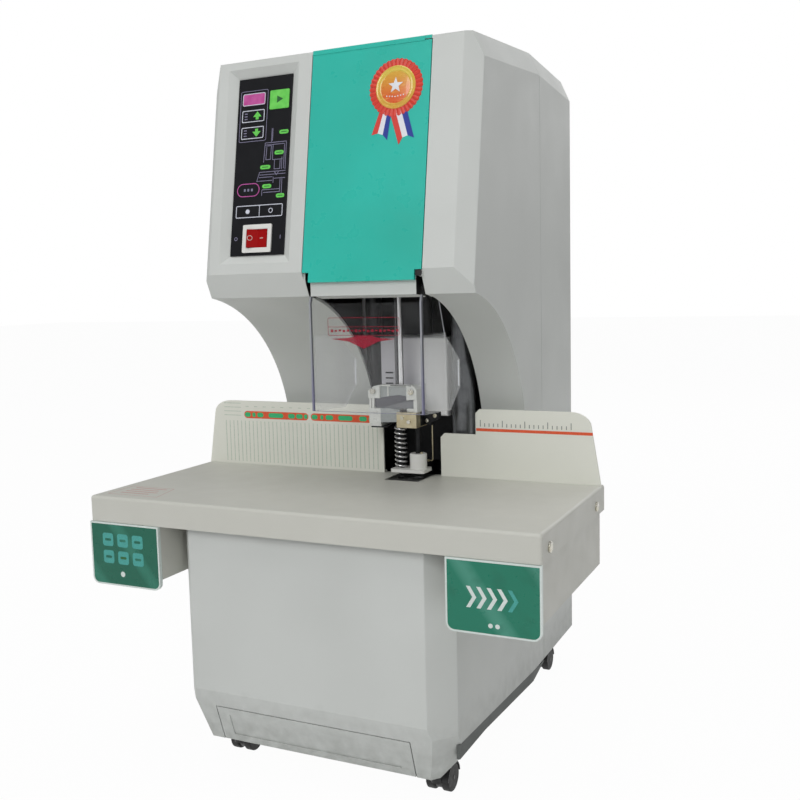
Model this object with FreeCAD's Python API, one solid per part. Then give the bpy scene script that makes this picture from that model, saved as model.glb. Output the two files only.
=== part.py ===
"""Document riveting machine: a floor-standing cabinet on casters that drills a stack of paper and
closes a nylon tube rivet in the hole.

Millimetres. X is to the right, Y to the back, Z up. The origin is on the floor under the middle of
the machine. Each function makes one sub-part, and main() writes each to parts/NODE.step.
"""
import FreeCAD
import Part
import math
import os

V = FreeCAD.Vector

# ---------------------------------------------------------------- cabinet
HALF_W = 136.0            # half the cabinet's width
FRONT_Y = -185.0          # front face of the lower cabinet
REAR_Y = 195.5            # back face of the cabinet
SEAM_Y = 83.0             # seam between the front and rear shells
SEAM_GAP = 0.6            # width of that seam
WALL = 3.0                # wall of every moulded shell
FLANGE_W = 15.0           # width of the flange round the cabinet's open bottom
BASE_Z = 30.0             # underside of the cabinet
TABLE_Z = 260.0           # top of the work table
TABLE_T = 2.0             # thickness of its sheet
SHELL_JOIN_Z = TABLE_Z - TABLE_T
CORNER_X = 19.0           # corner chamfer of the lower cabinet, across
CORNER_Y = 22.5           # and along the side
KICK_FRONT_Z = 83.0       # height at which the front starts to lean in
KICK_CORNER_Z = 72.0
KICK_SIDE_Z = 50.0
KICK_FRONT_IN = 17.5      # how far each face has leaned in at the underside
KICK_CORNER_IN = 15.0
KICK_SIDE_IN = 18.0

# ---------------------------------------------------------------- head
THROAT_R = 163.0          # round throat under the head
THROAT_Y = -132.0
THROAT_Z = 280.0
NECK_Y = THROAT_Y + THROAT_R      # front of the neck behind the throat
LIP_TOP_Y = -115.5        # the nose of the head
LIP_LOW_Y = -105.5        # where the nose ends in the throat
LIP_LOW_Z = THROAT_Z + math.sqrt(THROAT_R ** 2 - (LIP_LOW_Y - THROAT_Y) ** 2)
NOSE_H = 22.17
LIP_TOP_Z = LIP_LOW_Z + NOSE_H
FACE_TOP_Y = -81.0        # top edge of the leaning front face
FACE_TOP_Z = LIP_TOP_Z + 200.5
ROOF_PEAK_Y = 80.0
ROOF_PEAK_Z = FACE_TOP_Z + 12.5
ROOF_REAR_Z = FACE_TOP_Z + 4.5
FACE_CORNERS = {"left": (5.0, 3.0), "right": (16.0, 10.0)}     # corner chamfers, across and along
TOP_BEVELS = {"left": (5.0, 30.0), "right": (10.0, 22.0)}      # bevels of the top edges, across, down
EDGE_R = 2.0              # small round on the shell's outer edges
TILT = math.atan2(FACE_TOP_Y - LIP_TOP_Y, FACE_TOP_Z - LIP_TOP_Z)
FACE_H = math.hypot(FACE_TOP_Y - LIP_TOP_Y, FACE_TOP_Z - LIP_TOP_Z)

# ---------------------------------------------------------------- door and mouth
MOUTH_L = -29.0           # left and right edges of the door's opening and of the mouth below it
MOUTH_R = 91.0
RIM = 2.5                 # rim of the shell over the door
DOOR_T = 3.5
DOOR_LOW = -9.6           # the door's lower edge on the leaning face, below the nose
DOOR_GAP = 0.8
DOOR_EDGE = 2.2           # hinge line to the door's right edge
DOOR_NOTCH_X = 6.6        # notched lower corners of the door, in front of the guard's slots
DOOR_NOTCH_Z = 9.0
DOOR_SEAT = 4.3           # depth of the rebate for the door's lower edge
LUG_L = 86.6              # hinge lug in the right notch
LUG_LOW = -6.0
LUG_TOP = -1.2
LUG_FRONT = 0.3
LUG_DEPTH = 6.5
DOOR_PIN_R = 0.9
DOOR_PIN_L = 9.0          # length of each pin inside the door
PIN_FIT = 0.05            # radial running clearance of hinge pins
SILL_FRONT_Y = -112.4     # upright front of the sill bar under the door
SILL_BACK_Y = -93.0
SILL_END = 8.0            # how far the sill runs into the shell at each end
SILL_TIE_Y = 6.0          # tie bar behind the guard's slots
SILL_TIE_Z = 13.0

# ---------------------------------------------------------------- guard
GUARD_T = 3.0
GUARD_L = -26.0
GUARD_R = 88.0
GUARD_FRONT_Y = -109.0
GUARD_DROP = 6.83         # how far its pane ends below the throat's edge
GUARD_TOP_Z = LIP_LOW_Z - GUARD_DROP
GUARD_LOW_Z = GUARD_TOP_Z - 99.0
GUARD_PIVOT_Y = -100.0
GUARD_PIVOT_Z = GUARD_TOP_Z + 13.0
GUARD_PIN_R = 1.5
GUARD_EAR = 5.0
GUARD_SHOULDER_Y = -88.0  # the outline of its cheeks, from the ear to the lower corner
GUARD_TOP_Y = -69.6
GUARD_SLOPE_Y = -57.0
GUARD_SLOPE_Z = GUARD_TOP_Z - 33.0
GUARD_BACK_Y = -24.0
GUARD_BACK_TOP_Z = GUARD_TOP_Z - 56.5
GUARD_BACK_LOW_Z = GUARD_TOP_Z - 82.0
GUARD_HEEL_Y = -49.0
GUARD_HEEL_Z = GUARD_TOP_Z - 102.0
SLOT_SIDE = 1.4           # room beside each guard cheek in its slot

# ---------------------------------------------------------------- control panel, in the leaning face
PANEL_L = -111.0
PANEL_R = -52.0
PANEL_LOW = 18.3          # heights on the leaning face, measured from the nose
PANEL_TOP = 187.8
PANEL_T = 1.5
RECESS_DEPTH = 6.0
RECESS_SLOPE_X = 9.0
RECESS_SLOPE_S = 8.5
KEY_GAP = 0.3
KEY_PROUD = 0.5
KEY_T = 1.2
KEY_TRAVEL = 0.6
KEY_STEM_R = 2.0
KEY_ROUND = 1.2
BOARD_T = 1.6
TACT_R = 2.4
KEYS = {"reset_key": (-105.7, -80.3, 161.5, 173.4),
        "up_key": (-105.7, -80.3, 145.4, 157.3),
        "down_key": (-105.7, -80.3, 129.3, 141.2),
        "start_key": (-75.6, -54.1, 155.6, 174.2)}
SWITCH_X = -81.3
SWITCH_S = 34.0
SWITCH_W = 31.5
SWITCH_H = 26.4
SWITCH_BODY_W = 26.4
SWITCH_BODY_H = 20.6
SWITCH_WALL = 1.5
SWITCH_DEPTH = 18.0
SWITCH_PROUD = 1.5
ROCKER_TILT = 9.0         # degrees that the rocker leans at rest
ROCKER_PIN_R = 1.5

# ---------------------------------------------------------------- table and fences
TABLE_WING = 84.0         # how far the table stands out past the cabinet's side
TABLE_HALF = HALF_W + TABLE_WING
TABLE_FRONT_Y = -196.0
TABLE_BACK_Y = NECK_Y - 29.0
TABLE_SKIRT = 24.0        # height of its turned-down edges
TABLE_BEND = 3.0
SLOT_L = 12.5             # slot for the anvil
SLOT_R = 49.5
SLOT_FRONT_Y = NECK_Y - 72.5
FENCE_Y = NECK_Y - 37.0   # front face of both fences
FENCE_T = 2.0
FENCE_FOOT = 8.0
FENCE_SEAT = 0.5          # depth of the step in the table that the fences stand in
FENCE_SEAT_Y = FENCE_Y - 0.4      # front edge of that step
FENCE_Z = TABLE_Z - FENCE_SEAT
FENCE_TIP_X = TABLE_HALF - 10.0   # where the sloping outer end turns into the round corner
FENCE_ROUND_X = TABLE_HALF - 30.0
FENCE_FOOT_X = TABLE_HALF - 1.0
LEFT_FENCE_R = -4.0
LEFT_FENCE_TOP = TABLE_Z + 69.0
RIGHT_FENCE_L = 59.0
RIGHT_FENCE_STEP_X = 96.0
RIGHT_FENCE_STEP_Z = TABLE_Z + 43.0
RIGHT_FENCE_TOP = TABLE_Z + 68.0
SKIRT_SCREW_Y = (TABLE_FRONT_Y + 20.0, TABLE_BACK_Y - 30.0)
SKIRT_SCREW_Z = TABLE_Z - 14.7
SKIRT_SCREW_R = 4.5
SKIRT_SCREW_HEAD = 1.7
SCREW_SHANK_R = 2.0
FOOT_SCREW_R = 2.6

# ---------------------------------------------------------------- accessory drawers
DRAWER_SIDE = 5.0         # between the cabinet's side and a drawer
DRAWER_IN_X = HALF_W + DRAWER_SIDE
DRAWER_OUT_X = TABLE_HALF
PLATE_FRONT_Y = -197.5
PLATE_T = 3.5
PLATE_LOW_Z = TABLE_Z - 84.0
PLATE_ROUND = 7.0
HOUSING_T = 1.5
HOUSING_LOW_Z = TABLE_Z - 74.0
HOUSING_BACK_Y = TABLE_BACK_Y - 8.0
DRAWER_GAP = 0.3
TRAY_T = 1.5
TRAY_TOP_Z = TABLE_Z - 29.0

# ---------------------------------------------------------------- waste drawer
WASTE_HALF = HALF_W - 38.0
WASTE_TOP_Z = 66.0
WASTE_TRAY_HALF = WASTE_HALF - 6.0
WASTE_TRAY_BACK = 60.0
WASTE_TRAY_TOP = 60.0
WASTE_PANEL_IN = 12.0     # margin of the panel pressed into its front
WASTE_PANEL_DEEP = 1.0

# ---------------------------------------------------------------- frame
PLATE_X = 100.0           # inner faces of the two frame plates
FRAME_T = 4.0
FRAME_BACK_Y = 150.0
FRAME_TOP_Z = LIP_TOP_Z + 137.0
FRAME_ARM_Y = -78.0
FRAME_FOOT_Y = NECK_Y + 9.0
FRAME_SLANT = 18.0        # how far its front leans back above the head plate
FRAME_NECK_Z = 300.0
FRAME_HEEL_Z = 280.0
BASE_PLATE_T = 3.0
BED_LOW_Z = 240.0
BED_T = 12.0
BED_FRONT_Y = NECK_Y - 76.0
BED_BACK_Y = NECK_Y + 33.0
HEAD_PLATE_Z = LIP_TOP_Z + 7.0
HEAD_PLATE_T = 12.0
HEAD_PLATE_FRONT = -70.0
HEAD_PLATE_BACK = 110.0
LINER_Y = NECK_Y + 31.0
LINER_T = 1.5

# ---------------------------------------------------------------- drilling and riveting carriage
DRILL_X = 21.5
RIVET_X = 40.0
TOOL_Y = FENCE_Y - 12.5
LEFT_COLUMN = (-40.2, NECK_Y + 17.0, 10.5)    # x, y, radius
RIGHT_COLUMN = (74.5, NECK_Y - 13.0, 12.0)
SLIDE_FIT = 0.06          # radial running clearance of columns and shafts
SCREW_X = 23.0
SCREW_Y = NECK_Y + 17.0
SCREW_R = 6.0
SADDLE_Y0 = NECK_Y + 5.0
SADDLE_Y1 = NECK_Y + 29.0
SADDLE_LOW_Z = 268.0
SADDLE_TOP_Z = 397.0
ARM_H = 32.0
COVER_L = -12.0
COVER_R = 61.0
COVER_FRONT_Y = SADDLE_Y0 - 28.0
COVER_LOW_Z = 318.0
COVER_T = 3.0
COVER_ROUND = 2.0
HEAD_L = -8.0             # the tool head casting
HEAD_R = 45.5
HEAD_FRONT_Y = TOOL_Y - 11.5
HEAD_BACK_Y = TOOL_Y + 11.5
HEAD_LOW_Z = 313.0
HEAD_MID_Z = 326.0
HEAD_TOP_Z = 346.0
EAR_TOP_Z = 353.0
EAR_W = 12.0
EAR_HOLE_Z = 340.0
HEATER_L = 24.5
HEATER_FRONT_Y = TOOL_Y - 15.5
HEATER_LOW_Z = 311.0
SPINDLE_R = 4.25
SPINDLE_TOP_Z = LIP_TOP_Z + 127.0
DRILL_R = 3.0
DRILL_BORE_R = 2.0
DRILL_BORE_LEN = 60.0
DRILL_TIP_Z = 263.0
PUNCH_R = 2.5
PUNCH_TIP_Z = 268.0
TOOL_GAP = 0.5            # free room round the drill and the punch
PRESSER_L = 14.5
PRESSER_R = 50.5
PRESSER_Y0 = TOOL_Y - 12.5
PRESSER_Y1 = TOOL_Y + 10.5
PRESSER_LOW_Z = 265.8
PRESSER_T = 3.2
STEM_R = 4.0
STEM_TOP_Z = 316.0
PRESSER_TRAVEL = 25.0
BUSH_R = 8.5
BUSH_H = 15.0
SPRING_R = 6.5            # outer radius of the presser spring
SPRING_WIRE_R = 0.6
SPRING_TURNS = 5.0
SPRING_GAP = 0.3
ANVIL_GAP = 0.3
ANVIL_TOP_Z = 259.6
DIE_HOLE_R = 4.0
CHUTE_R = 9.0
CHUTE_WALL = 1.5
CHUTE_FLANGE_R = 14.0
CHUTE_LOW_Z = 68.0

# ---------------------------------------------------------------- drives
PULLEY_Z = HEAD_PLATE_Z + 14.0
PULLEY_H = 16.0
SPINDLE_PULLEY_R = 18.0
SPINDLE_HUB_R = 8.0
MOTOR_X = -55.0
MOTOR_PULLEY_R = 12.0
MOTOR_SHAFT_R = 3.0
MOTOR_R = 30.0
MOTOR_H = 85.0
PULLEY_RIM = 2.0
PULLEY_RIM_H = 2.0
BELT_T = 1.5
BELT_GAP = 0.3
BRACKET_T = 3.0
BRACKET_HALF = 34.0
LIFT_SHELF_Z = HEAD_PLATE_Z + 46.0
LIFT_MOTOR_R = 28.0
LIFT_MOTOR_H = 77.0
LIFT_SHAFT_R = 3.0
LIFT_SHAFT_L = 10.0

# ---------------------------------------------------------------- power
SUPPLY_HALF = 70.0
SUPPLY_Y0 = 95.0
SUPPLY_Y1 = 165.0
SUPPLY_H = 75.0
INLET_X = -80.0
INLET_Z = 92.0
INLET_W = 48.0
INLET_H = 28.0
INLET_T = 2.0
INLET_BODY_W = 30.0
INLET_BODY_H = 22.0
INLET_DEPTH = 24.0
INLET_WALL = 2.0
VENT_W = 3.0
VENT_L = 60.0
VENT_PITCH = 9.0
VENT_COUNT = 10
VENT_Z = 140.0

# ---------------------------------------------------------------- casters
CASTER_X = HALF_W - 32.0
CASTER_Y = {"front": -136.0, "rear": 165.0}
CASTER_TRAIL = 12.0
CASTER_WHEEL_R = 12.5
CASTER_WHEEL_W = 7.6
CASTER_WEB = 3.3
CASTER_SIDE_GAP = 0.3
CASTER_HOOD_R = 14.2
CASTER_PLATE = 9.0        # half side of the mounting plate
CASTER_PLATE_T = 2.0
CASTER_PIN_R = 2.5
CASTER_AXLE_R = 2.0
CASTER_BOSS_R = 5.5

SIDES = {"left": -1.0, "right": 1.0}
BIG = 2000.0
PAST = 5.0                # how far a cutting tool runs past what it cuts


# ================================================================ helpers
def box(x0, x1, y0, y1, z0, z1):
    """A box between two corners."""
    return Part.makeBox(x1 - x0, y1 - y0, z1 - z0, V(x0, y0, z0))


def rod(radius, start, axis, length):
    """A solid cylinder from start along axis."""
    return Part.makeCylinder(radius, length, V(*start), V(*axis))


def face_of(points):
    """A flat face with straight edges."""
    return Part.Face(Part.makePolygon([V(*p) for p in points] + [V(*points[0])]))


def prism_x(outline, x0, x1):
    """Extrude (y, z) points along X."""
    return face_of([(x0, y, z) for y, z in outline]).extrude(V(x1 - x0, 0, 0))


def prism_y(outline, y0, y1):
    """Extrude (x, z) points along Y."""
    return face_of([(x, y0, z) for x, z in outline]).extrude(V(0, y1 - y0, 0))


def fuse(first, *others):
    """Join solids into one."""
    return first.multiFuse(list(others)).removeSplitter()


def cut(first, *others):
    """Take solids away from the first."""
    for other in others:
        first = first.cut(other)
    return first


def trim(shape, point, normal, inset):
    """Keep what lies behind a plane, which is first moved inwards by inset."""
    normal = V(*normal)
    normal.normalize()
    tool = Part.makeBox(BIG, BIG, BIG, V(-BIG / 2, -BIG / 2, 0))
    tool.Placement = FreeCAD.Placement(V(*point) - normal * inset,
                                       FreeCAD.Rotation(V(0, 0, 1), normal))
    return shape.cut(tool)


def trim_both(shape, point, normal, inset):
    """Trim with a plane and with its mirror image across the middle."""
    shape = trim(shape, point, normal, inset)
    return trim(shape, (-point[0], point[1], point[2]), (-normal[0], normal[1], normal[2]), inset)


def round_edges(shape, radius, wanted):
    """Round the edges for which wanted(edge) is true."""
    return shape.makeFillet(radius, [edge for edge in shape.Edges if wanted(edge)])


def runs_along(edge, axis):
    """True for a straight edge parallel to an axis."""
    if edge.Curve.TypeId != "Part::GeomLine":
        return False
    return abs(abs(edge.Curve.Direction.dot(V(*axis))) - 1) < 1e-6


def on_face(shape):
    """Carry a shape drawn as (across, depth, height) onto the leaning front face."""
    shape = shape.copy()
    shape.rotate(V(0, 0, 0), V(1, 0, 0), -math.degrees(TILT))
    shape.translate(V(0, LIP_TOP_Y, LIP_TOP_Z))
    return shape


def mirrored(shape, side):
    """The shape for the left side (-1) or the right side (+1), drawn for the right."""
    return shape if side > 0 else shape.mirror(V(0, 0, 0), V(1, 0, 0))


def tray(x0, x1, y0, y1, z0, z1, wall):
    """An open-topped box."""
    inside = box(x0 + wall, x1 - wall, y0 + wall, y1 - wall, z0 + wall, z1 + PAST)
    return box(x0, x1, y0, y1, z0, z1).cut(inside)


# ================================================================ cabinet shells
def lower_cabinet(inset, reach):
    """The lower cabinet as one solid, drawn in by inset and carried past the join by reach."""
    shape = box(-HALF_W + inset, HALF_W - inset, FRONT_Y + inset, REAR_Y - inset,
                BASE_Z + inset, SHELL_JOIN_Z + reach)
    corner = (HALF_W, FRONT_Y + CORNER_Y, KICK_CORNER_Z)
    shape = trim_both(shape, corner, (CORNER_Y, -CORNER_X, 0), inset)
    corner_len = math.hypot(CORNER_X, CORNER_Y)
    corner_drop = KICK_CORNER_Z - BASE_Z
    kick = (CORNER_Y / corner_len * corner_drop, -CORNER_X / corner_len * corner_drop,
            -KICK_CORNER_IN)
    shape = trim_both(shape, corner, kick, inset)
    side_kick = (KICK_SIDE_Z - BASE_Z, 0, -KICK_SIDE_IN)
    shape = trim_both(shape, (HALF_W, 0, KICK_SIDE_Z), side_kick, inset)
    return trim(shape, (0, FRONT_Y, KICK_FRONT_Z), (0, BASE_Z - KICK_FRONT_Z, -KICK_FRONT_IN), inset)


def head_profile(bottom):
    """Side outline of the head and its neck, as a face in the YZ plane."""
    turn = math.radians(45)
    arc = Part.Arc(V(0, NECK_Y, THROAT_Z),
                   V(0, THROAT_Y + THROAT_R * math.cos(turn), THROAT_Z + THROAT_R * math.sin(turn)),
                   V(0, LIP_LOW_Y, LIP_LOW_Z))
    points = [(LIP_LOW_Y, LIP_LOW_Z), (LIP_TOP_Y, LIP_TOP_Z), (FACE_TOP_Y, FACE_TOP_Z),
              (ROOF_PEAK_Y, ROOF_PEAK_Z), (REAR_Y, ROOF_REAR_Z), (REAR_Y, bottom),
              (NECK_Y, bottom), (NECK_Y, THROAT_Z)]
    edges = [Part.makeLine(V(0, *a), V(0, *b)) for a, b in zip(points, points[1:])]
    return Part.Face(Part.Wire([arc.toShape()] + edges))


def head(inset, reach):
    """The head and its neck as one solid, drawn in by inset and carried below the join by reach."""
    profile = head_profile(SHELL_JOIN_Z - THROAT_R)
    if inset:
        profile = profile.makeOffset2D(-inset)
    profile.translate(V(-HALF_W + inset, 0, 0))
    shape = profile.extrude(V(2 * (HALF_W - inset), 0, 0))
    shape = shape.cut(box(-BIG, BIG, -BIG, BIG, -BIG, SHELL_JOIN_Z - reach))
    for name, side in SIDES.items():
        corner_x, corner_y = FACE_CORNERS[name]
        lean = (side * corner_y * math.cos(TILT), -corner_x * math.cos(TILT),
                corner_x * math.sin(TILT))
        shape = trim(shape, (side * HALF_W, LIP_TOP_Y + corner_y, LIP_TOP_Z), lean, inset)
        bevel_x, bevel_z = TOP_BEVELS[name]
        for y, z, rise in ((FACE_TOP_Y, FACE_TOP_Z, ROOF_PEAK_Z - FACE_TOP_Z),
                           (REAR_Y, ROOF_REAR_Z, ROOF_REAR_Z - ROOF_PEAK_Z)):
            run = abs(ROOF_PEAK_Y - y)
            normal = (side * bevel_z * run, -bevel_x * rise, bevel_x * run)
            shape = trim(shape, (side * (HALF_W - bevel_x), y, z), normal, inset)
    return shape


def front_part(shape):
    """What lies in front of the seam."""
    return shape.cut(box(-BIG, BIG, SEAM_Y - SEAM_GAP / 2, BIG, -BIG, BIG))


def rear_part(shape):
    """What lies behind the seam."""
    return shape.cut(box(-BIG, BIG, -BIG, SEAM_Y + SEAM_GAP / 2, -BIG, BIG))


def bottom_hole():
    """The hole inside the flange round the cabinet's bottom."""
    half = HALF_W - KICK_SIDE_IN - FLANGE_W
    return box(-half, half, FRONT_Y + KICK_FRONT_IN + FLANGE_W, REAR_Y - FLANGE_W,
               BASE_Z - PAST, BASE_Z + WALL + PAST)


def base_front_shell():
    """Front and sides of the lower cabinet, with the opening for the waste drawer."""
    outer = front_part(lower_cabinet(0, 0))
    outer = round_edges(outer, EDGE_R, lambda e: is_front_corner(e))
    gap = DRAWER_GAP * 3
    opening = box(-WASTE_HALF - gap, WASTE_HALF + gap, FRONT_Y - PAST,
                  FRONT_Y + KICK_FRONT_IN + FLANGE_W + PAST, BASE_Z - PAST, WASTE_TOP_Z + gap)
    return cut(outer, lower_cabinet(WALL, PAST), bottom_hole(), opening)


def is_front_corner(edge):
    """True for the upright edges of the lower cabinet's front."""
    return runs_along(edge, (0, 0, 1)) and edge.CenterOfMass.y < SEAM_Y - 10


def rear_shell():
    """Back of the cabinet from the floor gap to the roof, with vents and the inlet's cut-out."""
    outer = fuse(rear_part(lower_cabinet(0, 0)), rear_part(head(0, 0)))
    shell = cut(outer, lower_cabinet(WALL, PAST), head(WALL, PAST), bottom_hole())
    for i in range(VENT_COUNT):
        z = VENT_Z + i * VENT_PITCH
        shell = shell.cut(box(-VENT_L / 2, VENT_L / 2, REAR_Y - WALL - PAST, REAR_Y + PAST,
                              z, z + VENT_W))
    hole = box(INLET_X - INLET_BODY_W / 2, INLET_X + INLET_BODY_W / 2, REAR_Y - WALL - PAST,
               REAR_Y + PAST, INLET_Z - INLET_BODY_H / 2, INLET_Z + INLET_BODY_H / 2)
    return shell.cut(hole)


def recess_frustum(grow, front, back):
    """The sloping-sided recess of the control panel, drawn on the leaning face."""
    slope = 1.0 / RECESS_DEPTH
    wires = []
    for depth in (front, back):
        open_x = RECESS_SLOPE_X * (RECESS_DEPTH - depth) * slope + grow
        open_s = RECESS_SLOPE_S * (RECESS_DEPTH - depth) * slope + grow
        corners = [(PANEL_L - open_x, depth, PANEL_LOW - open_s),
                   (PANEL_R + open_x, depth, PANEL_LOW - open_s),
                   (PANEL_R + open_x, depth, PANEL_TOP + open_s),
                   (PANEL_L - open_x, depth, PANEL_TOP + open_s)]
        wires.append(Part.makePolygon([V(*c) for c in corners] + [V(*corners[0])]))
    return Part.makeLoft(wires, True, True)


def key_window():
    """Hole in the recess floor behind the keys."""
    left = min(k[0] for k in KEYS.values()) + KEY_STEM_R
    right = max(k[1] for k in KEYS.values()) - KEY_STEM_R
    low = min(k[2] for k in KEYS.values()) + KEY_STEM_R
    high = max(k[3] for k in KEYS.values()) - KEY_STEM_R
    return box(left, right, RECESS_DEPTH - PAST, RECESS_DEPTH + WALL + PAST, low, high)


def switch_hole(depth0, depth1):
    """Clearance hole for the power switch's body."""
    half_w = SWITCH_BODY_W / 2 + KEY_GAP
    half_h = SWITCH_BODY_H / 2 + KEY_GAP
    return box(SWITCH_X - half_w, SWITCH_X + half_w, depth0, depth1,
               SWITCH_S - half_h, SWITCH_S + half_h)


def guard_slots():
    """The two slots in the nose through which the guard's cheeks hang."""
    slots = []
    for inner in (GUARD_L, GUARD_R - GUARD_T):
        slots.append(box(inner - SLOT_SIDE, inner + GUARD_T + SLOT_SIDE, LIP_TOP_Y - PAST,
                         SILL_BACK_Y, LIP_LOW_Z - 2 * PAST, LIP_TOP_Z))
    return slots


def tower_front_shell():
    """Front of the head with the door's opening, panel recess, sill, slots and throat."""
    outer = front_part(head(0, 0))
    solid = outer.copy()
    rounded = round_edges(outer, EDGE_R, is_head_edge)
    shell = rounded.cut(head(WALL, PAST))
    recess = on_face(recess_frustum(WALL, 0.0, RECESS_DEPTH + WALL))
    shell = shell.fuse(recess.common(rounded))
    shell = shell.cut(on_face(recess_frustum(0.0, -1.0, RECESS_DEPTH)))
    door_hole = on_face(box(MOUTH_L, MOUTH_R, -2 * PAST, 4 * PAST, 0, FACE_H - RIM))
    rebate = on_face(box(MOUTH_L, MOUTH_R, -2 * PAST, DOOR_SEAT, DOOR_LOW - DOOR_GAP, PAST))
    mouth = box(MOUTH_L, MOUTH_R, SILL_BACK_Y, SEAM_Y - 2 * PAST, SHELL_JOIN_Z - PAST, LIP_TOP_Z)
    shell = cut(shell, door_hole, mouth)
    left = MOUTH_L - SILL_END
    right = MOUTH_R + SILL_END
    sill = solid.common(box(left, right, LIP_TOP_Y - PAST, SILL_BACK_Y, LIP_LOW_Z - PAST,
                            LIP_TOP_Z))
    sill_front = box(GUARD_L, GUARD_R, SILL_FRONT_Y, LIP_LOW_Y, LIP_LOW_Z,
                     LIP_TOP_Z + DOOR_LOW)
    tie = box(left, right, SILL_BACK_Y, SILL_BACK_Y + SILL_TIE_Y, LIP_TOP_Z - SILL_TIE_Z, LIP_TOP_Z)
    shell = cut(fuse(shell, sill, sill_front, tie), door_hole, rebate)
    shell = cut(shell, on_face(key_window()),
                on_face(switch_hole(0, RECESS_DEPTH + WALL + PAST)), *guard_slots())
    shell = fuse(shell, on_face(box(LUG_L, MOUTH_R, LUG_FRONT, LUG_DEPTH, LUG_LOW, LUG_TOP)))
    return cut(shell, guard_pin_bar(), *door_pin_rods(DOOR_PIN_R))


def is_head_edge(edge):
    """True for the long outer edges of the head that are rounded."""
    middle = edge.CenterOfMass
    leaning = abs(abs(edge.tangentAt(edge.FirstParameter).dot(
        V(0, math.sin(TILT), math.cos(TILT)))) - 1) < 1e-6
    reach = max(corner_x for corner_x, _ in FACE_CORNERS.values())
    return leaning and middle.z > LIP_TOP_Z and abs(middle.x) > HALF_W - reach - 1


# ================================================================ door and guard
def door_axis_x():
    """Across position of the door's hinge line."""
    return MOUTH_R - DOOR_GAP - DOOR_EDGE


def door_pin_rods(radius):
    """The door's two hinge pins, seated in the lug and in the rim over the door."""
    low = on_face(rod(radius, (door_axis_x(), DOOR_T / 2, LUG_LOW + 1), (0, 0, 1),
                      DOOR_PIN_L * 1.5))
    top = FACE_H - RIM
    high = on_face(rod(radius, (door_axis_x(), DOOR_T / 2, top - DOOR_PIN_L), (0, 0, 1),
                       DOOR_PIN_L + RIM - 0.5))
    return [low, high]


def door():
    """The coloured service door that closes the head's front."""
    low = DOOR_LOW
    notch = low + DOOR_NOTCH_Z
    high = FACE_H - RIM - DOOR_GAP
    left = MOUTH_L + DOOR_GAP
    right = MOUTH_R - DOOR_GAP
    outline = [(left, notch), (left + DOOR_NOTCH_X, notch), (left + DOOR_NOTCH_X, low),
               (right - DOOR_NOTCH_X, low), (right - DOOR_NOTCH_X, notch), (right, notch),
               (right, high), (left, high)]
    slab = prism_y(outline, 0, DOOR_T)
    for start in (notch, high - DOOR_PIN_L - 1):
        slab = slab.cut(rod(DOOR_PIN_R + PIN_FIT, (door_axis_x(), DOOR_T / 2, start - 1),
                            (0, 0, 1), DOOR_PIN_L + 3))
    return on_face(slab)


def guard_pin_bar():
    """The guard's two pivot pins, each across one slot."""
    pins = []
    for inner in (GUARD_L, GUARD_R - GUARD_T):
        start = inner - SLOT_SIDE - GUARD_EAR
        pins.append(rod(GUARD_PIN_R, (start, GUARD_PIVOT_Y, GUARD_PIVOT_Z), (1, 0, 0),
                        GUARD_T + 2 * SLOT_SIDE + 2 * GUARD_EAR))
    return Part.makeCompound(pins)


def hinge_pins():
    """All four hinge pins of the door and the guard."""
    return Part.makeCompound(list(guard_pin_bar().Solids) + door_pin_rods(DOOR_PIN_R))


def guard():
    """Clear guard in front of the drill: a front pane between two cheeks."""
    ear_top = GUARD_PIVOT_Z + GUARD_EAR
    cheek = [(GUARD_FRONT_Y, GUARD_TOP_Z), (GUARD_PIVOT_Y - GUARD_EAR, GUARD_PIVOT_Z),
             (GUARD_PIVOT_Y - GUARD_EAR / 2, ear_top), (GUARD_PIVOT_Y + GUARD_EAR / 2, ear_top),
             (GUARD_PIVOT_Y + GUARD_EAR, GUARD_PIVOT_Z), (GUARD_SHOULDER_Y, GUARD_TOP_Z + GUARD_T),
             (GUARD_TOP_Y, GUARD_TOP_Z), (GUARD_SLOPE_Y, GUARD_SLOPE_Z),
             (GUARD_BACK_Y, GUARD_BACK_TOP_Z), (GUARD_BACK_Y, GUARD_BACK_LOW_Z),
             (GUARD_HEEL_Y, GUARD_HEEL_Z), (GUARD_FRONT_Y, GUARD_LOW_Z)]
    pane = box(GUARD_L, GUARD_R, GUARD_FRONT_Y, GUARD_FRONT_Y + GUARD_T, GUARD_LOW_Z, GUARD_TOP_Z)
    cheeks = [prism_x(cheek, x, x + GUARD_T) for x in (GUARD_L, GUARD_R - GUARD_T)]
    shape = fuse(pane, *cheeks)
    bore = rod(GUARD_PIN_R + PIN_FIT, (GUARD_L - PAST, GUARD_PIVOT_Y, GUARD_PIVOT_Z), (1, 0, 0),
               GUARD_R - GUARD_L + 2 * PAST)
    return shape.cut(bore)


# ================================================================ controls
def key_stem_centre(name):
    """Middle of a key on the leaning face."""
    x0, x1, s0, s1 = KEYS[name]
    return (x0 + x1) / 2, (s0 + s1) / 2


def key(name):
    """One push key with its stem."""
    x0, x1, s0, s1 = KEYS[name]
    front = RECESS_DEPTH - PANEL_T - KEY_PROUD
    cap = box(x0 + KEY_GAP, x1 - KEY_GAP, front, front + KEY_T, s0 + KEY_GAP, s1 - KEY_GAP)
    cap = round_edges(cap, KEY_ROUND, lambda e: runs_along(e, (0, 1, 0)))
    x, s = key_stem_centre(name)
    stem = rod(KEY_STEM_R, (x, front + KEY_T, s), (0, 1, 0), PANEL_T + KEY_PROUD)
    return on_face(fuse(cap, stem))


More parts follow.
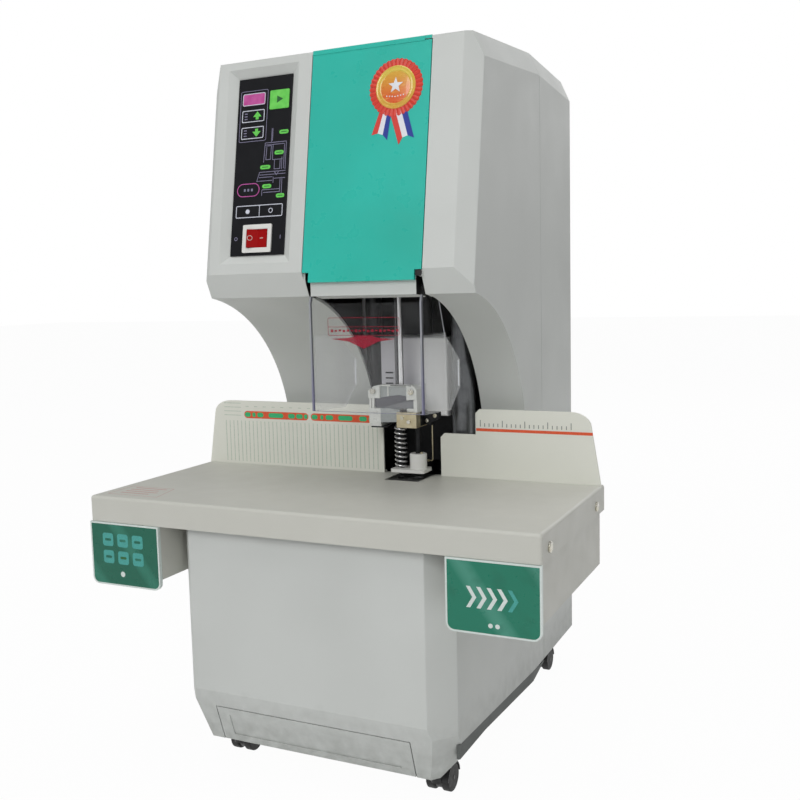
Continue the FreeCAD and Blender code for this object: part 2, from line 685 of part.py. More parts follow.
def control_panel():
    """Black fascia in the recess, with a hole for each key and for the power switch."""
    back = RECESS_DEPTH
    plate = box(PANEL_L, PANEL_R, back - PANEL_T, back, PANEL_LOW, PANEL_TOP)
    for x0, x1, s0, s1 in KEYS.values():
        plate = plate.cut(box(x0, x1, 0, back + PAST, s0, s1))
    return on_face(plate.cut(switch_hole(0, back + PAST)))


def control_board():
    """Circuit board behind the keys, with a push switch under each stem."""
    front = RECESS_DEPTH + WALL
    low = min(k[2] for k in KEYS.values())
    high = max(k[3] for k in KEYS.values())
    board = box(PANEL_L, PANEL_R, front, front + BOARD_T, low, high)
    key_back = RECESS_DEPTH - PANEL_T - KEY_PROUD + KEY_T + PANEL_T + KEY_PROUD
    for name in KEYS:
        x, s = key_stem_centre(name)
        start = key_back + KEY_TRAVEL + 0.1
        board = board.fuse(rod(TACT_R, (x, start, s), (0, 1, 0), front + BOARD_T / 2 - start))
    return on_face(board.removeSplitter())


def switch_bezel():
    """Rim and body of the power switch, open in front."""
    front = RECESS_DEPTH - PANEL_T - SWITCH_PROUD
    rim = box(SWITCH_X - SWITCH_W / 2, SWITCH_X + SWITCH_W / 2, front, front + SWITCH_PROUD,
              SWITCH_S - SWITCH_H / 2, SWITCH_S + SWITCH_H / 2)
    rim = round_edges(rim, KEY_ROUND, lambda e: runs_along(e, (0, 1, 0)))
    body = box(SWITCH_X - SWITCH_BODY_W / 2, SWITCH_X + SWITCH_BODY_W / 2, front,
               front + SWITCH_DEPTH, SWITCH_S - SWITCH_BODY_H / 2, SWITCH_S + SWITCH_BODY_H / 2)
    half_w = SWITCH_BODY_W / 2 - SWITCH_WALL
    half_h = SWITCH_BODY_H / 2 - SWITCH_WALL
    inside = box(SWITCH_X - half_w, SWITCH_X + half_w, front - PAST,
                 front + SWITCH_DEPTH - SWITCH_WALL, SWITCH_S - half_h, SWITCH_S + half_h)
    pin_hole = rod(ROCKER_PIN_R + PIN_FIT, (SWITCH_X, RECESS_DEPTH, SWITCH_S - half_h - 1),
                   (0, 0, 1), 2 * half_h + 2)
    return on_face(cut(fuse(rim, body), inside, pin_hole))


def power_rocker():
    """The rocker of the power switch, leaning to its off side."""
    half_w = SWITCH_BODY_W / 2 - SWITCH_WALL - 1.4
    half_h = SWITCH_BODY_H / 2 - SWITCH_WALL - KEY_GAP
    outline = [(-half_w, -4), (0, -1.8), (half_w, -4), (half_w, 2), (0, 6), (-half_w, 2)]
    points = [(x, d, -half_h) for x, d in outline]
    body = face_of(points).extrude(V(0, 0, 2 * half_h))
    pin = rod(ROCKER_PIN_R, (0, 0, -half_h - 1), (0, 0, 1), 2 * half_h + 2)
    rocker = fuse(body, pin)
    rocker.rotate(V(0, 0, 0), V(0, 0, 1), ROCKER_TILT)
    rocker.translate(V(SWITCH_X, RECESS_DEPTH, SWITCH_S))
    return on_face(rocker)


# ================================================================ table and fences
def work_table():
    """Pressed sheet table with turned-down edges and the anvil's slot."""
    low = TABLE_Z - TABLE_SKIRT
    outer = box(-TABLE_HALF, TABLE_HALF, TABLE_FRONT_Y, TABLE_BACK_Y, low, TABLE_Z)
    outer = round_edges(outer, TABLE_BEND, is_table_edge)
    inner = box(-TABLE_HALF + TABLE_T, TABLE_HALF - TABLE_T, TABLE_FRONT_Y + TABLE_T,
                TABLE_BACK_Y + PAST, low - PAST, TABLE_Z - TABLE_T)
    slot = box(SLOT_L, SLOT_R, SLOT_FRONT_Y, TABLE_BACK_Y + PAST, low, TABLE_Z + PAST)
    step = box(-BIG, BIG, FENCE_SEAT_Y, TABLE_BACK_Y + PAST, FENCE_Z, TABLE_Z + PAST)
    return cut(outer, inner, slot, step, *skirt_screw_rods(SCREW_SHANK_R))


def is_table_edge(edge):
    """True for the table's outer bends and its two front corners."""
    middle = edge.CenterOfMass
    front_corner = runs_along(edge, (0, 0, 1)) and middle.y < TABLE_FRONT_Y + 1
    top_bend = middle.z > TABLE_Z - 1e-3 and middle.y < TABLE_BACK_Y - 1
    return front_corner or top_bend


def fence(outline, foot_left, foot_right):
    """A sheet fence with a foot turned back onto the table."""
    sheet = prism_y(outline, FENCE_Y, FENCE_Y + FENCE_T)
    foot = box(foot_left, foot_right, FENCE_Y, FENCE_Y + FENCE_FOOT, FENCE_Z, FENCE_Z + FENCE_T)
    shape = fuse(sheet, foot)
    for x in foot_screw_x(foot_left, foot_right):
        shape = shape.cut(rod(SCREW_SHANK_R, (x, foot_screw_y(), FENCE_Z - 1), (0, 0, 1), 2 * PAST))
    return shape


def foot_screw_y():
    """Middle of the fence's foot."""
    return FENCE_Y + FENCE_T + (FENCE_FOOT - FENCE_T) / 2


def foot_screw_x(left, right):
    """Three screws along a fence's foot."""
    return [left + (right - left) * share for share in (0.1, 0.5, 0.9)]


def round_tip(top):
    """Points of the fence's round outer corner, for the right side."""
    drop = top - (TABLE_Z + 0.8 * (top - TABLE_Z))
    points = []
    for step in range(7):
        a = math.radians(90 * step / 6)
        points.append((FENCE_ROUND_X + (FENCE_TIP_X - FENCE_ROUND_X) * math.sin(a),
                       top - drop + drop * math.cos(a)))
    return points


def left_fence():
    """Long fence at the left, with a sloping outer end."""
    tip = [(-x, z) for x, z in round_tip(LEFT_FENCE_TOP)]
    outline = [(LEFT_FENCE_R, FENCE_Z), (LEFT_FENCE_R, LEFT_FENCE_TOP)] + tip
    return fence(outline + [(-FENCE_FOOT_X, FENCE_Z)], -FENCE_FOOT_X + PAST, LEFT_FENCE_R - 1)


def right_fence():
    """Fence at the right, stepped down beside the drill."""
    outline = [(FENCE_FOOT_X, FENCE_Z)] + round_tip(RIGHT_FENCE_TOP)[::-1]
    bend = 4.0
    outline += [(RIGHT_FENCE_STEP_X + bend, RIGHT_FENCE_TOP),
                (RIGHT_FENCE_STEP_X, RIGHT_FENCE_TOP - bend),
                (RIGHT_FENCE_STEP_X, RIGHT_FENCE_STEP_Z),
                (RIGHT_FENCE_L + bend, RIGHT_FENCE_STEP_Z),
                (RIGHT_FENCE_L, RIGHT_FENCE_STEP_Z - bend), (RIGHT_FENCE_L, FENCE_Z)]
    return fence(outline, RIGHT_FENCE_L + 1, FENCE_FOOT_X - PAST)


def skirt_screw_rods(radius):
    """Shanks of the four screws through the table's side edges and the drawer housings."""
    rods = []
    for side in SIDES.values():
        start = TABLE_HALF - TABLE_T - HOUSING_T - PAST
        for y in SKIRT_SCREW_Y:
            rods.append(mirrored(rod(radius, (start, y, SKIRT_SCREW_Z), (1, 0, 0),
                                     TABLE_HALF - start), side))
    return rods


def sheet_screws():
    """Screws of the table's side edges and of the fences' feet."""
    screws = []
    for shank in skirt_screw_rods(SCREW_SHANK_R):
        side = 1.0 if shank.CenterOfMass.x > 0 else -1.0
        y = shank.CenterOfMass.y
        cap = rod(SKIRT_SCREW_R, (TABLE_HALF, y, SKIRT_SCREW_Z), (1, 0, 0), SKIRT_SCREW_HEAD)
        cap = round_edges(cap, 0.8, lambda e: e.CenterOfMass.x > TABLE_HALF + 1)
        slot = box(TABLE_HALF + SKIRT_SCREW_HEAD - 0.7, TABLE_HALF + PAST, y - BIG / 2,
                   y + BIG / 2, SKIRT_SCREW_Z - 0.4, SKIRT_SCREW_Z + 0.4)
        screws.append(fuse(mirrored(cap.cut(slot), side), shank))
    top = FENCE_Z + FENCE_T
    for left, right in ((-FENCE_FOOT_X + PAST, LEFT_FENCE_R - 1),
                        (RIGHT_FENCE_L + 1, FENCE_FOOT_X - PAST)):
        for x in foot_screw_x(left, right):
            shank = rod(SCREW_SHANK_R - 0.1, (x, foot_screw_y(), FENCE_Z), (0, 0, 1), FENCE_T)
            cap = rod(FOOT_SCREW_R - 0.7, (x, foot_screw_y(), top), (0, 0, 1), 1.5)
            screws.append(fuse(shank, cap))
    return Part.makeCompound(screws)


# ================================================================ accessory drawers
def drawer_housing(side):
    """Sheet channel under the table in which an accessory drawer slides."""
    x0 = DRAWER_IN_X
    x1 = TABLE_HALF - TABLE_T - DRAWER_GAP
    front = PLATE_FRONT_Y + PLATE_T + DRAWER_GAP
    top = TABLE_Z - TABLE_T
    shape = box(x0, x1, front, HOUSING_BACK_Y, HOUSING_LOW_Z, top)
    inside = box(x0 + HOUSING_T, x1 - HOUSING_T, front - PAST, HOUSING_BACK_Y - HOUSING_T,
                 HOUSING_LOW_Z + HOUSING_T, top + PAST)
    shape = shape.cut(inside)
    # The front edge stays behind the table's turned-down front.
    relief = box(x0 - PAST, x1 + PAST, TABLE_FRONT_Y - PAST, TABLE_FRONT_Y + TABLE_T + DRAWER_GAP,
                 TABLE_Z - TABLE_SKIRT - DRAWER_GAP, top + PAST)
    return cut(mirrored(shape.cut(relief), side), *skirt_screw_rods(SCREW_SHANK_R))


def drawer_tray(side):
    """Sliding tray of an accessory drawer."""
    x0 = DRAWER_IN_X + HOUSING_T + DRAWER_GAP
    x1 = TABLE_HALF - TABLE_T - 2 * DRAWER_GAP - HOUSING_T
    bottom = HOUSING_LOW_Z + HOUSING_T + DRAWER_GAP
    shape = tray(x0, x1, PLATE_FRONT_Y + PLATE_T, HOUSING_BACK_Y - 2 * PAST, bottom, TRAY_TOP_Z,
                 TRAY_T)
    return mirrored(shape, side)


def drawer_plate(side):
    """Coloured front plate of an accessory drawer."""
    top = TABLE_Z - TABLE_SKIRT - DRAWER_GAP
    plate = box(DRAWER_IN_X, DRAWER_OUT_X, PLATE_FRONT_Y, PLATE_FRONT_Y + PLATE_T, PLATE_LOW_Z, top)
    low_corner = [e for e in plate.Edges
                  if runs_along(e, (0, 1, 0)) and e.CenterOfMass.z < PLATE_LOW_Z + 1]
    return mirrored(plate.makeFillet(PLATE_ROUND, low_corner), side)


def waste_drawer():
    """Pull-out bin for the paper chips, with a sloping front that continues the cabinet's."""
    front = lower_cabinet(0, 0).cut(lower_cabinet(WALL, PAST))
    window = box(-WASTE_HALF, WASTE_HALF, FRONT_Y - PAST, FRONT_Y + KICK_FRONT_IN + WALL + 1,
                 BASE_Z + DRAWER_GAP, WASTE_TOP_Z)
    front = front.common(window)
    skin = lower_cabinet(0, 0).cut(lower_cabinet(WASTE_PANEL_DEEP, PAST))
    pressed = skin.common(box(-WASTE_HALF + WASTE_PANEL_IN, WASTE_HALF - WASTE_PANEL_IN, FRONT_Y,
                              0, BASE_Z + WASTE_PANEL_IN * 0.6, WASTE_TOP_Z - WASTE_PANEL_IN * 0.6))
    front = front.cut(pressed)
    y0 = FRONT_Y + KICK_FRONT_IN
    bottom = BASE_Z + WALL + BASE_PLATE_T + DRAWER_GAP
    bin_box = tray(-WASTE_TRAY_HALF, WASTE_TRAY_HALF, y0, WASTE_TRAY_BACK, bottom,
                   WASTE_TRAY_TOP, TRAY_T)
    bin_box = bin_box.cut(box(-BIG, BIG, -BIG, y0 + WALL, -BIG, BIG))
    bridge = lower_cabinet(WALL, PAST).common(
        box(-WASTE_TRAY_HALF, WASTE_TRAY_HALF, FRONT_Y, y0 + 2 * WALL, bottom, WASTE_TRAY_TOP))
    cleared = box(-WASTE_TRAY_HALF + TRAY_T, WASTE_TRAY_HALF - TRAY_T, y0 + WALL + TRAY_T, 0,
                  bottom + TRAY_T, WASTE_TRAY_TOP + PAST)
    return fuse(front, bin_box, bridge.cut(cleared))


# ================================================================ frame
def base_plate():
    """Steel plate on the flange of the shells; the frame and the casters are bolted to it."""
    half = HALF_W - KICK_SIDE_IN - WALL - 1
    return box(-half, half, FRONT_Y + KICK_FRONT_IN + WALL + 3 * PAST, REAR_Y - WALL - 1,
               BASE_Z + WALL, BASE_Z + WALL + BASE_PLATE_T)


def frame_side_plates():
    """Two C-shaped steel plates that carry the bed and the head plate."""
    low = BASE_Z + WALL + BASE_PLATE_T
    outline = [(FRAME_FOOT_Y, low), (FRAME_BACK_Y, low), (FRAME_BACK_Y, FRAME_TOP_Z),
               (FRAME_ARM_Y + FRAME_SLANT, FRAME_TOP_Z), (FRAME_ARM_Y, HEAD_PLATE_Z),
               (FRAME_ARM_Y, HEAD_PLATE_Z - 2 * HEAD_PLATE_T), (0, FRAME_NECK_Z), (FRAME_FOOT_Y, FRAME_HEEL_Z)]
    plate = prism_x(outline, PLATE_X, PLATE_X + FRAME_T)
    plate = plate.cut(rod(THROAT_R + WALL + PAST, (0, THROAT_Y, THROAT_Z), (1, 0, 0), 2 * PLATE_X))
    return Part.makeCompound([mirrored(plate, side) for side in SIDES.values()])


def bed_plate():
    """Thick plate under the anvil and the columns."""
    bed = box(-PLATE_X, PLATE_X, BED_FRONT_Y, BED_BACK_Y, BED_LOW_Z, BED_LOW_Z + BED_T)
    return bed.cut(rod(CHUTE_R - CHUTE_WALL, (DRILL_X, TOOL_Y, BED_LOW_Z - 1), (0, 0, 1), BED_T + 2))


def head_plate():
    """Thick plate in the head: column tops, spindle bearing and screw bearing."""
    plate = box(-PLATE_X, PLATE_X, HEAD_PLATE_FRONT, HEAD_PLATE_BACK, HEAD_PLATE_Z,
                HEAD_PLATE_Z + HEAD_PLATE_T)
    for x, y, radius in (LEFT_COLUMN, RIGHT_COLUMN, (DRILL_X, TOOL_Y, SPINDLE_HUB_R + SLIDE_FIT),
                         (SCREW_X, SCREW_Y, SCREW_R + SLIDE_FIT)):
        plate = plate.cut(rod(radius, (x, y, HEAD_PLATE_Z - 1), (0, 0, 1), HEAD_PLATE_T + 2))
    return plate


def guide_column(column):
    """One ground column from the bed to the head plate."""
    x, y, radius = column
    bottom = BED_LOW_Z + BED_T
    return rod(radius, (x, y, bottom), (0, 0, 1), HEAD_PLATE_Z + HEAD_PLATE_T - bottom)


def back_liner():
    """Black sheet that closes the throat behind the tools."""
    return box(-PLATE_X, PLATE_X, LINER_Y, LINER_Y + LINER_T, BED_LOW_Z + BED_T, HEAD_PLATE_Z)


def anvil():
    """Hard steel insert in the table's slot, with the die for the rivet and the chip hole."""
    shape = box(SLOT_L + ANVIL_GAP, SLOT_R - ANVIL_GAP, SLOT_FRONT_Y + ANVIL_GAP, TABLE_BACK_Y,
                BED_LOW_Z + BED_T, ANVIL_TOP_Z)
    chip_hole = rod(DIE_HOLE_R, (DRILL_X, TOOL_Y, BED_LOW_Z), (0, 0, 1), 2 * BED_T)
    dish = rod(2 * PUNCH_R, (RIVET_X, TOOL_Y, ANVIL_TOP_Z - 1.2), (0, 0, 1), PAST)
    nose = Part.makeCone(PUNCH_R, 0.8, 1.2, V(RIVET_X, TOOL_Y, ANVIL_TOP_Z - 1.2), V(0, 0, 1))
    return cut(shape, chip_hole, dish.cut(nose))


def chip_chute():
    """Tube that drops the chips from the bed into the waste drawer."""
    tube = rod(CHUTE_R, (DRILL_X, TOOL_Y, CHUTE_LOW_Z), (0, 0, 1), BED_LOW_Z - CHUTE_LOW_Z)
    flange = rod(CHUTE_FLANGE_R, (DRILL_X, TOOL_Y, BED_LOW_Z - 2), (0, 0, 1), 2)
    bore = rod(CHUTE_R - CHUTE_WALL, (DRILL_X, TOOL_Y, CHUTE_LOW_Z - 1), (0, 0, 1),
               BED_LOW_Z - CHUTE_LOW_Z + 2)
    return fuse(tube, flange).cut(bore)


# ================================================================ carriage
def lift_saddle():
    """Steel saddle that rides on both columns and holds the lift nut."""
    rear = box(COVER_L, COVER_R, SADDLE_Y0, SADDLE_Y1, SADDLE_LOW_Z, SADDLE_TOP_Z)
    x, y, radius = LEFT_COLUMN
    left_arm = box(x - radius - 4, COVER_L, SADDLE_Y0 - 2, SADDLE_Y1 + 1, SADDLE_LOW_Z,
                   SADDLE_LOW_Z + ARM_H)
    rx, ry, rr = RIGHT_COLUMN
    ring = rod(rr + 3, (rx, ry, SADDLE_LOW_Z), (0, 0, 1), ARM_H)
    link = box(COVER_R - 1, rx, ry + rr / 2, SADDLE_Y1 - 8, SADDLE_LOW_Z, SADDLE_LOW_Z + ARM_H)
    shape = fuse(rear, left_arm, ring, link)
    for cx, cy, bore in ((x, y, radius), (rx, ry, rr), (SCREW_X, SCREW_Y, SCREW_R)):
        shape = shape.cut(rod(bore + SLIDE_FIT, (cx, cy, SADDLE_LOW_Z - 1), (0, 0, 1), BIG / 2))
    return shape


def saddle_cover():
    """Light grey cover in front of the saddle."""
    shape = box(COVER_L, COVER_R, COVER_FRONT_Y, SADDLE_Y0, COVER_LOW_Z, SADDLE_TOP_Z)
    shape = round_edges(shape, COVER_ROUND, lambda e: e.CenterOfMass.y < COVER_FRONT_Y + 1)
    return shape.cut(box(COVER_L + COVER_T, COVER_R - COVER_T, COVER_FRONT_Y + COVER_T,
                         SADDLE_Y0 + PAST, COVER_LOW_Z + COVER_T, SADDLE_TOP_Z - COVER_T))


def tool_head():
    """Aluminium casting in front of the saddle, with two screwed ears and the spindle's boss."""
    body = box(HEAD_L, HEAD_R, HEAD_FRONT_Y, HEAD_BACK_Y, HEAD_MID_Z, HEAD_TOP_Z)
    low_right = DRILL_X + STEM_R + 5
    lower = box(HEAD_L, low_right, HEAD_FRONT_Y + 3.3, HEAD_BACK_Y, HEAD_LOW_Z, HEAD_MID_Z)
    link = box(LEFT_FENCE_R + 2, HEAD_R, HEAD_BACK_Y, COVER_FRONT_Y, HEAD_MID_Z - 6, HEAD_TOP_Z)
    parts = [lower, link]
    for x in (HEAD_L, HEAD_R - EAR_W):
        ear = box(x, x + EAR_W, HEAD_FRONT_Y - 2, HEAD_FRONT_Y + 6, HEAD_MID_Z + 6, EAR_TOP_Z)
        parts.append(round_edges(ear, 3.0, is_ear_top))
    parts.append(rod(SPINDLE_R + 5, (DRILL_X, TOOL_Y, HEAD_TOP_Z - 1), (0, 0, 1),
                     EAR_TOP_Z - HEAD_TOP_Z + 1))
    shape = fuse(body, *parts)
    stem_bore = rod(STEM_R + SLIDE_FIT, (DRILL_X, TOOL_Y, HEAD_LOW_Z - 1), (0, 0, 1),
                    HEAD_TOP_Z - HEAD_LOW_Z + 1)
    spindle_bore = rod(SPINDLE_R + SLIDE_FIT, (DRILL_X, TOOL_Y, HEAD_TOP_Z - 0.5), (0, 0, 1), BED_T)
    return cut(shape, stem_bore, spindle_bore, *head_screw_shanks())


def is_ear_top(edge):
    """True for the upper fore-and-aft edges of an ear."""
    return runs_along(edge, (0, 1, 0)) and edge.CenterOfMass.z > EAR_TOP_Z - 1


def head_screw_places():
    """Centres of the screws seen on the tool head's front: two ears, two on the heater."""
    front = HEAD_FRONT_Y - 2
    ears = [(HEAD_L + EAR_W / 2, front, EAR_HOLE_Z + 6), (HEAD_R - EAR_W / 2, front, EAR_HOLE_Z + 6)]
    return ears, [(HEATER_L + 6, HEATER_FRONT_Y, HEATER_LOW_Z + 10),
                  (HEATER_L + 13, HEATER_FRONT_Y, HEATER_LOW_Z + 6)]


def head_screw_shanks():
    """Shanks of the two ear screws."""
    return [rod(1.5, place, (0, 1, 0), 8) for place in head_screw_places()[0]]


def head_screws():
    """Small screws on the tool head and on the heater block."""
    ears, heater = head_screw_places()
    screws = []
    for x, y, z in ears:
        cap = rod(2.8, (x, y - 1.6, z), (0, 1, 0), 1.6)
        screws.append(fuse(cap, rod(1.5, (x, y, z), (0, 1, 0), 8)))
    for x, y, z in heater:
        cap = rod(2.0, (x, y - 1.2, z), (0, 1, 0), 1.2)
        screws.append(fuse(cap, rod(1.2, (x, y, z), (0, 1, 0), 4)))
    return Part.makeCompound(screws)


def heater_block():
    """Brass block that melts the tube's rim, with the rivet punch screwed into it."""
    face = box(HEATER_L, HEAD_R, HEATER_FRONT_Y, HEAD_FRONT_Y + 2.7, HEATER_LOW_Z, HEAD_MID_Z)
    left = DRILL_X + STEM_R + 5 + DRAWER_GAP
    body = box(left, HEAD_R, HEAD_FRONT_Y + 2, HEAD_BACK_Y, HEATER_LOW_Z, HEAD_MID_Z)
    block = fuse(face, body)
    for x, y, z in head_screw_places()[1]:
        block = block.cut(rod(1.2, (x, y, z), (0, 1, 0), 4))
    punch = rod(PUNCH_R, (RIVET_X, TOOL_Y, PUNCH_TIP_Z), (0, 0, 1), HEATER_LOW_Z - PUNCH_TIP_Z)
    return Part.makeCompound([block, punch])


def spindle():
    """Bright spindle and the hollow drill below it."""
    shaft_low = HEAD_TOP_Z + 1
    shaft = rod(SPINDLE_R, (DRILL_X, TOOL_Y, shaft_low), (0, 0, 1), SPINDLE_TOP_Z - shaft_low)
    drill = rod(DRILL_R, (DRILL_X, TOOL_Y, DRILL_TIP_Z), (0, 0, 1), shaft_low - DRILL_TIP_Z)
    bore = rod(DRILL_BORE_R, (DRILL_X, TOOL_Y, DRILL_TIP_Z - 1), (0, 0, 1), DRILL_BORE_LEN)
    return fuse(shaft, drill).cut(bore)


def presser_plate():
    """White plate that clamps the paper, with the stem that slides in the tool head."""
    plate = box(PRESSER_L, PRESSER_R, PRESSER_Y0, PRESSER_Y1, PRESSER_LOW_Z, PRESSER_LOW_Z + PRESSER_T)
    plate = round_edges(plate, 3.0, lambda e: runs_along(e, (0, 0, 1)))
    top = PRESSER_LOW_Z + PRESSER_T
    stem = rod(STEM_R, (DRILL_X, TOOL_Y, top), (0, 0, 1), STEM_TOP_Z - top)
    drill_hole = rod(DRILL_R + TOOL_GAP, (DRILL_X, TOOL_Y, PRESSER_LOW_Z - 1), (0, 0, 1), BIG / 2)
    punch_hole = rod(PUNCH_R + TOOL_GAP, (RIVET_X, TOOL_Y, PRESSER_LOW_Z - 1), (0, 0, 1), BIG / 2)
    return cut(fuse(plate, stem), drill_hole, punch_hole)


def nylon_bush():
    """White bush on the plate that guides the punch and holds the tube."""
    top = PRESSER_LOW_Z + PRESSER_T
    bush = rod(BUSH_R, (RIVET_X, TOOL_Y, top), (0, 0, 1), BUSH_H)
    bush = round_edges(bush, 1.2, lambda e: e.CenterOfMass.z > top + BUSH_H - 0.5)
    return bush.cut(rod(PUNCH_R + TOOL_GAP, (RIVET_X, TOOL_Y, top - 1), (0, 0, 1), BUSH_H + 2))


def presser_spring():
    """Coil spring round the stem, between the plate and the tool head."""
    low = PRESSER_LOW_Z + PRESSER_T + SPRING_GAP + SPRING_WIRE_R
    high = HEAD_LOW_Z - SPRING_GAP - SPRING_WIRE_R
    pitch = (high - low) / SPRING_TURNS
    path = Part.makeHelix(pitch, high - low, SPRING_R - SPRING_WIRE_R)
    section = Part.Wire(Part.makeCircle(SPRING_WIRE_R, V(SPRING_R - SPRING_WIRE_R, 0, 0), V(0, 1, 0)))
    coil = Part.Wire(path).makePipeShell([section], True, True)
    coil.translate(V(DRILL_X, TOOL_Y, low))
    return coil


# ================================================================ drives
def lift_screw():
    """Upright screw that raises and lowers the saddle."""
    bottom = BED_LOW_Z + BED_T + SPRING_GAP
    top = LIFT_SHELF_Z - SPRING_GAP
    shape = rod(SCREW_R, (SCREW_X, SCREW_Y, bottom), (0, 0, 1), top - bottom)
    socket = rod(LIFT_SHAFT_R + SLIDE_FIT, (SCREW_X, SCREW_Y, top - LIFT_SHAFT_L - 1), (0, 0, 1),
                 LIFT_SHAFT_L + 2)
    return shape.cut(socket)


def motor_bracket(x, y, shelf_z, hole_r):
    """A shelf over the head plate on two walls, with a hole for the shaft."""
    low = HEAD_PLATE_Z + HEAD_PLATE_T
    shelf = box(x - BRACKET_HALF, x + BRACKET_HALF, y - BRACKET_HALF, y + BRACKET_HALF, shelf_z,
                shelf_z + BRACKET_T)
    walls = [box(x - BRACKET_HALF, x + BRACKET_HALF, y + a, y + a + BRACKET_T, low, shelf_z)
             for a in (-BRACKET_HALF, BRACKET_HALF - BRACKET_T)]
    return fuse(shelf, *walls).cut(rod(hole_r, (x, y, shelf_z - 1), (0, 0, 1), BRACKET_T + 2))


def lift_motor():
    """Geared motor over the lift screw, on its bracket."""
    low = LIFT_SHELF_Z
    bracket = motor_bracket(SCREW_X, SCREW_Y, low, LIFT_SHAFT_R)
    case = rod(LIFT_MOTOR_R, (SCREW_X, SCREW_Y, low + BRACKET_T), (0, 0, 1), LIFT_MOTOR_H)
    shaft = rod(LIFT_SHAFT_R, (SCREW_X, SCREW_Y, low - LIFT_SHAFT_L), (0, 0, 1),
                LIFT_SHAFT_L + BRACKET_T)
    return fuse(bracket, case, shaft)


def drill_motor():
    """Motor that drives the spindle through a belt, on its bracket."""
    shelf = PULLEY_Z + PULLEY_H + 2
    bracket = motor_bracket(MOTOR_X, TOOL_Y, shelf, MOTOR_SHAFT_R + 2)
    case = rod(MOTOR_R, (MOTOR_X, TOOL_Y, shelf + BRACKET_T), (0, 0, 1), MOTOR_H)
    shaft = rod(MOTOR_SHAFT_R, (MOTOR_X, TOOL_Y, PULLEY_Z - 1), (0, 0, 1), shelf + BRACKET_T - PULLEY_Z + 1)
    return fuse(bracket, case, shaft)


def pulley(x, radius, bore):
    """A flanged belt pulley."""
    wheel = rod(radius, (x, TOOL_Y, PULLEY_Z), (0, 0, 1), PULLEY_H)
    rims = [rod(radius + PULLEY_RIM, (x, TOOL_Y, z), (0, 0, 1), PULLEY_RIM_H)
            for z in (PULLEY_Z, PULLEY_Z + PULLEY_H - PULLEY_RIM_H)]
    return fuse(wheel, *rims).cut(rod(bore, (x, TOOL_Y, PULLEY_Z - 1), (0, 0, 1), PULLEY_H + 2))


def motor_pulley():
    """Small pulley on the drill motor's shaft."""
    return pulley(MOTOR_X, MOTOR_PULLEY_R, MOTOR_SHAFT_R + SLIDE_FIT)


def spindle_pulley():
    """Large pulley whose hub turns in the head plate and drives the sliding spindle."""
    hub = rod(SPINDLE_HUB_R, (DRILL_X, TOOL_Y, HEAD_PLATE_Z), (0, 0, 1), PULLEY_Z - HEAD_PLATE_Z + 1)
    bore = SPINDLE_R + SLIDE_FIT
    shape = fuse(pulley(DRILL_X, SPINDLE_PULLEY_R, bore), hub)
    return shape.cut(rod(bore, (DRILL_X, TOOL_Y, HEAD_PLATE_Z - 1), (0, 0, 1), BIG / 4))


def belt_loop(grow, z0, z1):
    """Solid between the two pulleys' outer tangents, grown by a distance."""
    small = MOTOR_PULLEY_R + grow
    large = SPINDLE_PULLEY_R + grow
    reach = DRILL_X - MOTOR_X
    lean = math.asin((large - small) / reach)
    points = []
    for side in (1, -1):
        tangents = [(MOTOR_X - small * math.sin(lean), TOOL_Y + side * small * math.cos(lean)),
                    (DRILL_X - large * math.sin(lean), TOOL_Y + side * large * math.cos(lean))]
        points += tangents if side > 0 else tangents[::-1]
    middle = face_of([(x, y, z0) for x, y in points]).extrude(V(0, 0, z1 - z0))
    ends = [rod(small, (MOTOR_X, TOOL_Y, z0), (0, 0, 1), z1 - z0),
            rod(large, (DRILL_X, TOOL_Y, z0), (0, 0, 1), z1 - z0)]
    return fuse(middle, *ends)


def drive_belt():
    """Flat belt round both pulleys."""
    z0 = PULLEY_Z + PULLEY_RIM_H + 1
    z1 = PULLEY_Z + PULLEY_H - PULLEY_RIM_H - 1
    return belt_loop(BELT_GAP + BELT_T, z0, z1).cut(belt_loop(BELT_GAP, z0 - 1, z1 + 1))


# ================================================================ power
def power_supply():
    """Closed power supply on the base plate."""
    low = BASE_Z + WALL + BASE_PLATE_T
    shape = box(-SUPPLY_HALF, SUPPLY_HALF, SUPPLY_Y0, SUPPLY_Y1, low, low + SUPPLY_H)
    return round_edges(shape, 2.0, lambda e: runs_along(e, (0, 0, 1)))


def mains_inlet():
    """Three-pin appliance inlet in the back wall."""
    flange = box(INLET_X - INLET_W / 2, INLET_X + INLET_W / 2, REAR_Y, REAR_Y + INLET_T,
                 INLET_Z - INLET_H / 2, INLET_Z + INLET_H / 2)
    body = box(INLET_X - INLET_BODY_W / 2, INLET_X + INLET_BODY_W / 2, REAR_Y + INLET_T - INLET_DEPTH,
               REAR_Y + INLET_T, INLET_Z - INLET_BODY_H / 2, INLET_Z + INLET_BODY_H / 2)
    half_w = INLET_BODY_W / 2 - INLET_WALL
    half_h = INLET_BODY_H / 2 - INLET_WALL
    back = REAR_Y + INLET_T - INLET_DEPTH + INLET_WALL
    socket = box(INLET_X - half_w, INLET_X + half_w, back, REAR_Y + INLET_T + PAST,
                 INLET_Z - half_h, INLET_Z + half_h)
    shape = fuse(flange, body).cut(socket)
    for dx, dz in ((-7, -2), (7, -2), (0, 3)):
        blade = box(INLET_X + dx - 1, INLET_X + dx + 1, back - 1, back + 13, INLET_Z + dz - 2,
                    INLET_Z + dz + 2)
        shape = shape.fuse(blade)
    return shape.removeSplitter()


# ================================================================ casters
def caster_places():
    """Name and swivel axis of each caster."""
    return {end + "_" + side: (sign * CASTER_X, y)
            for end, y in CASTER_Y.items() for side, sign in SIDES.items()}


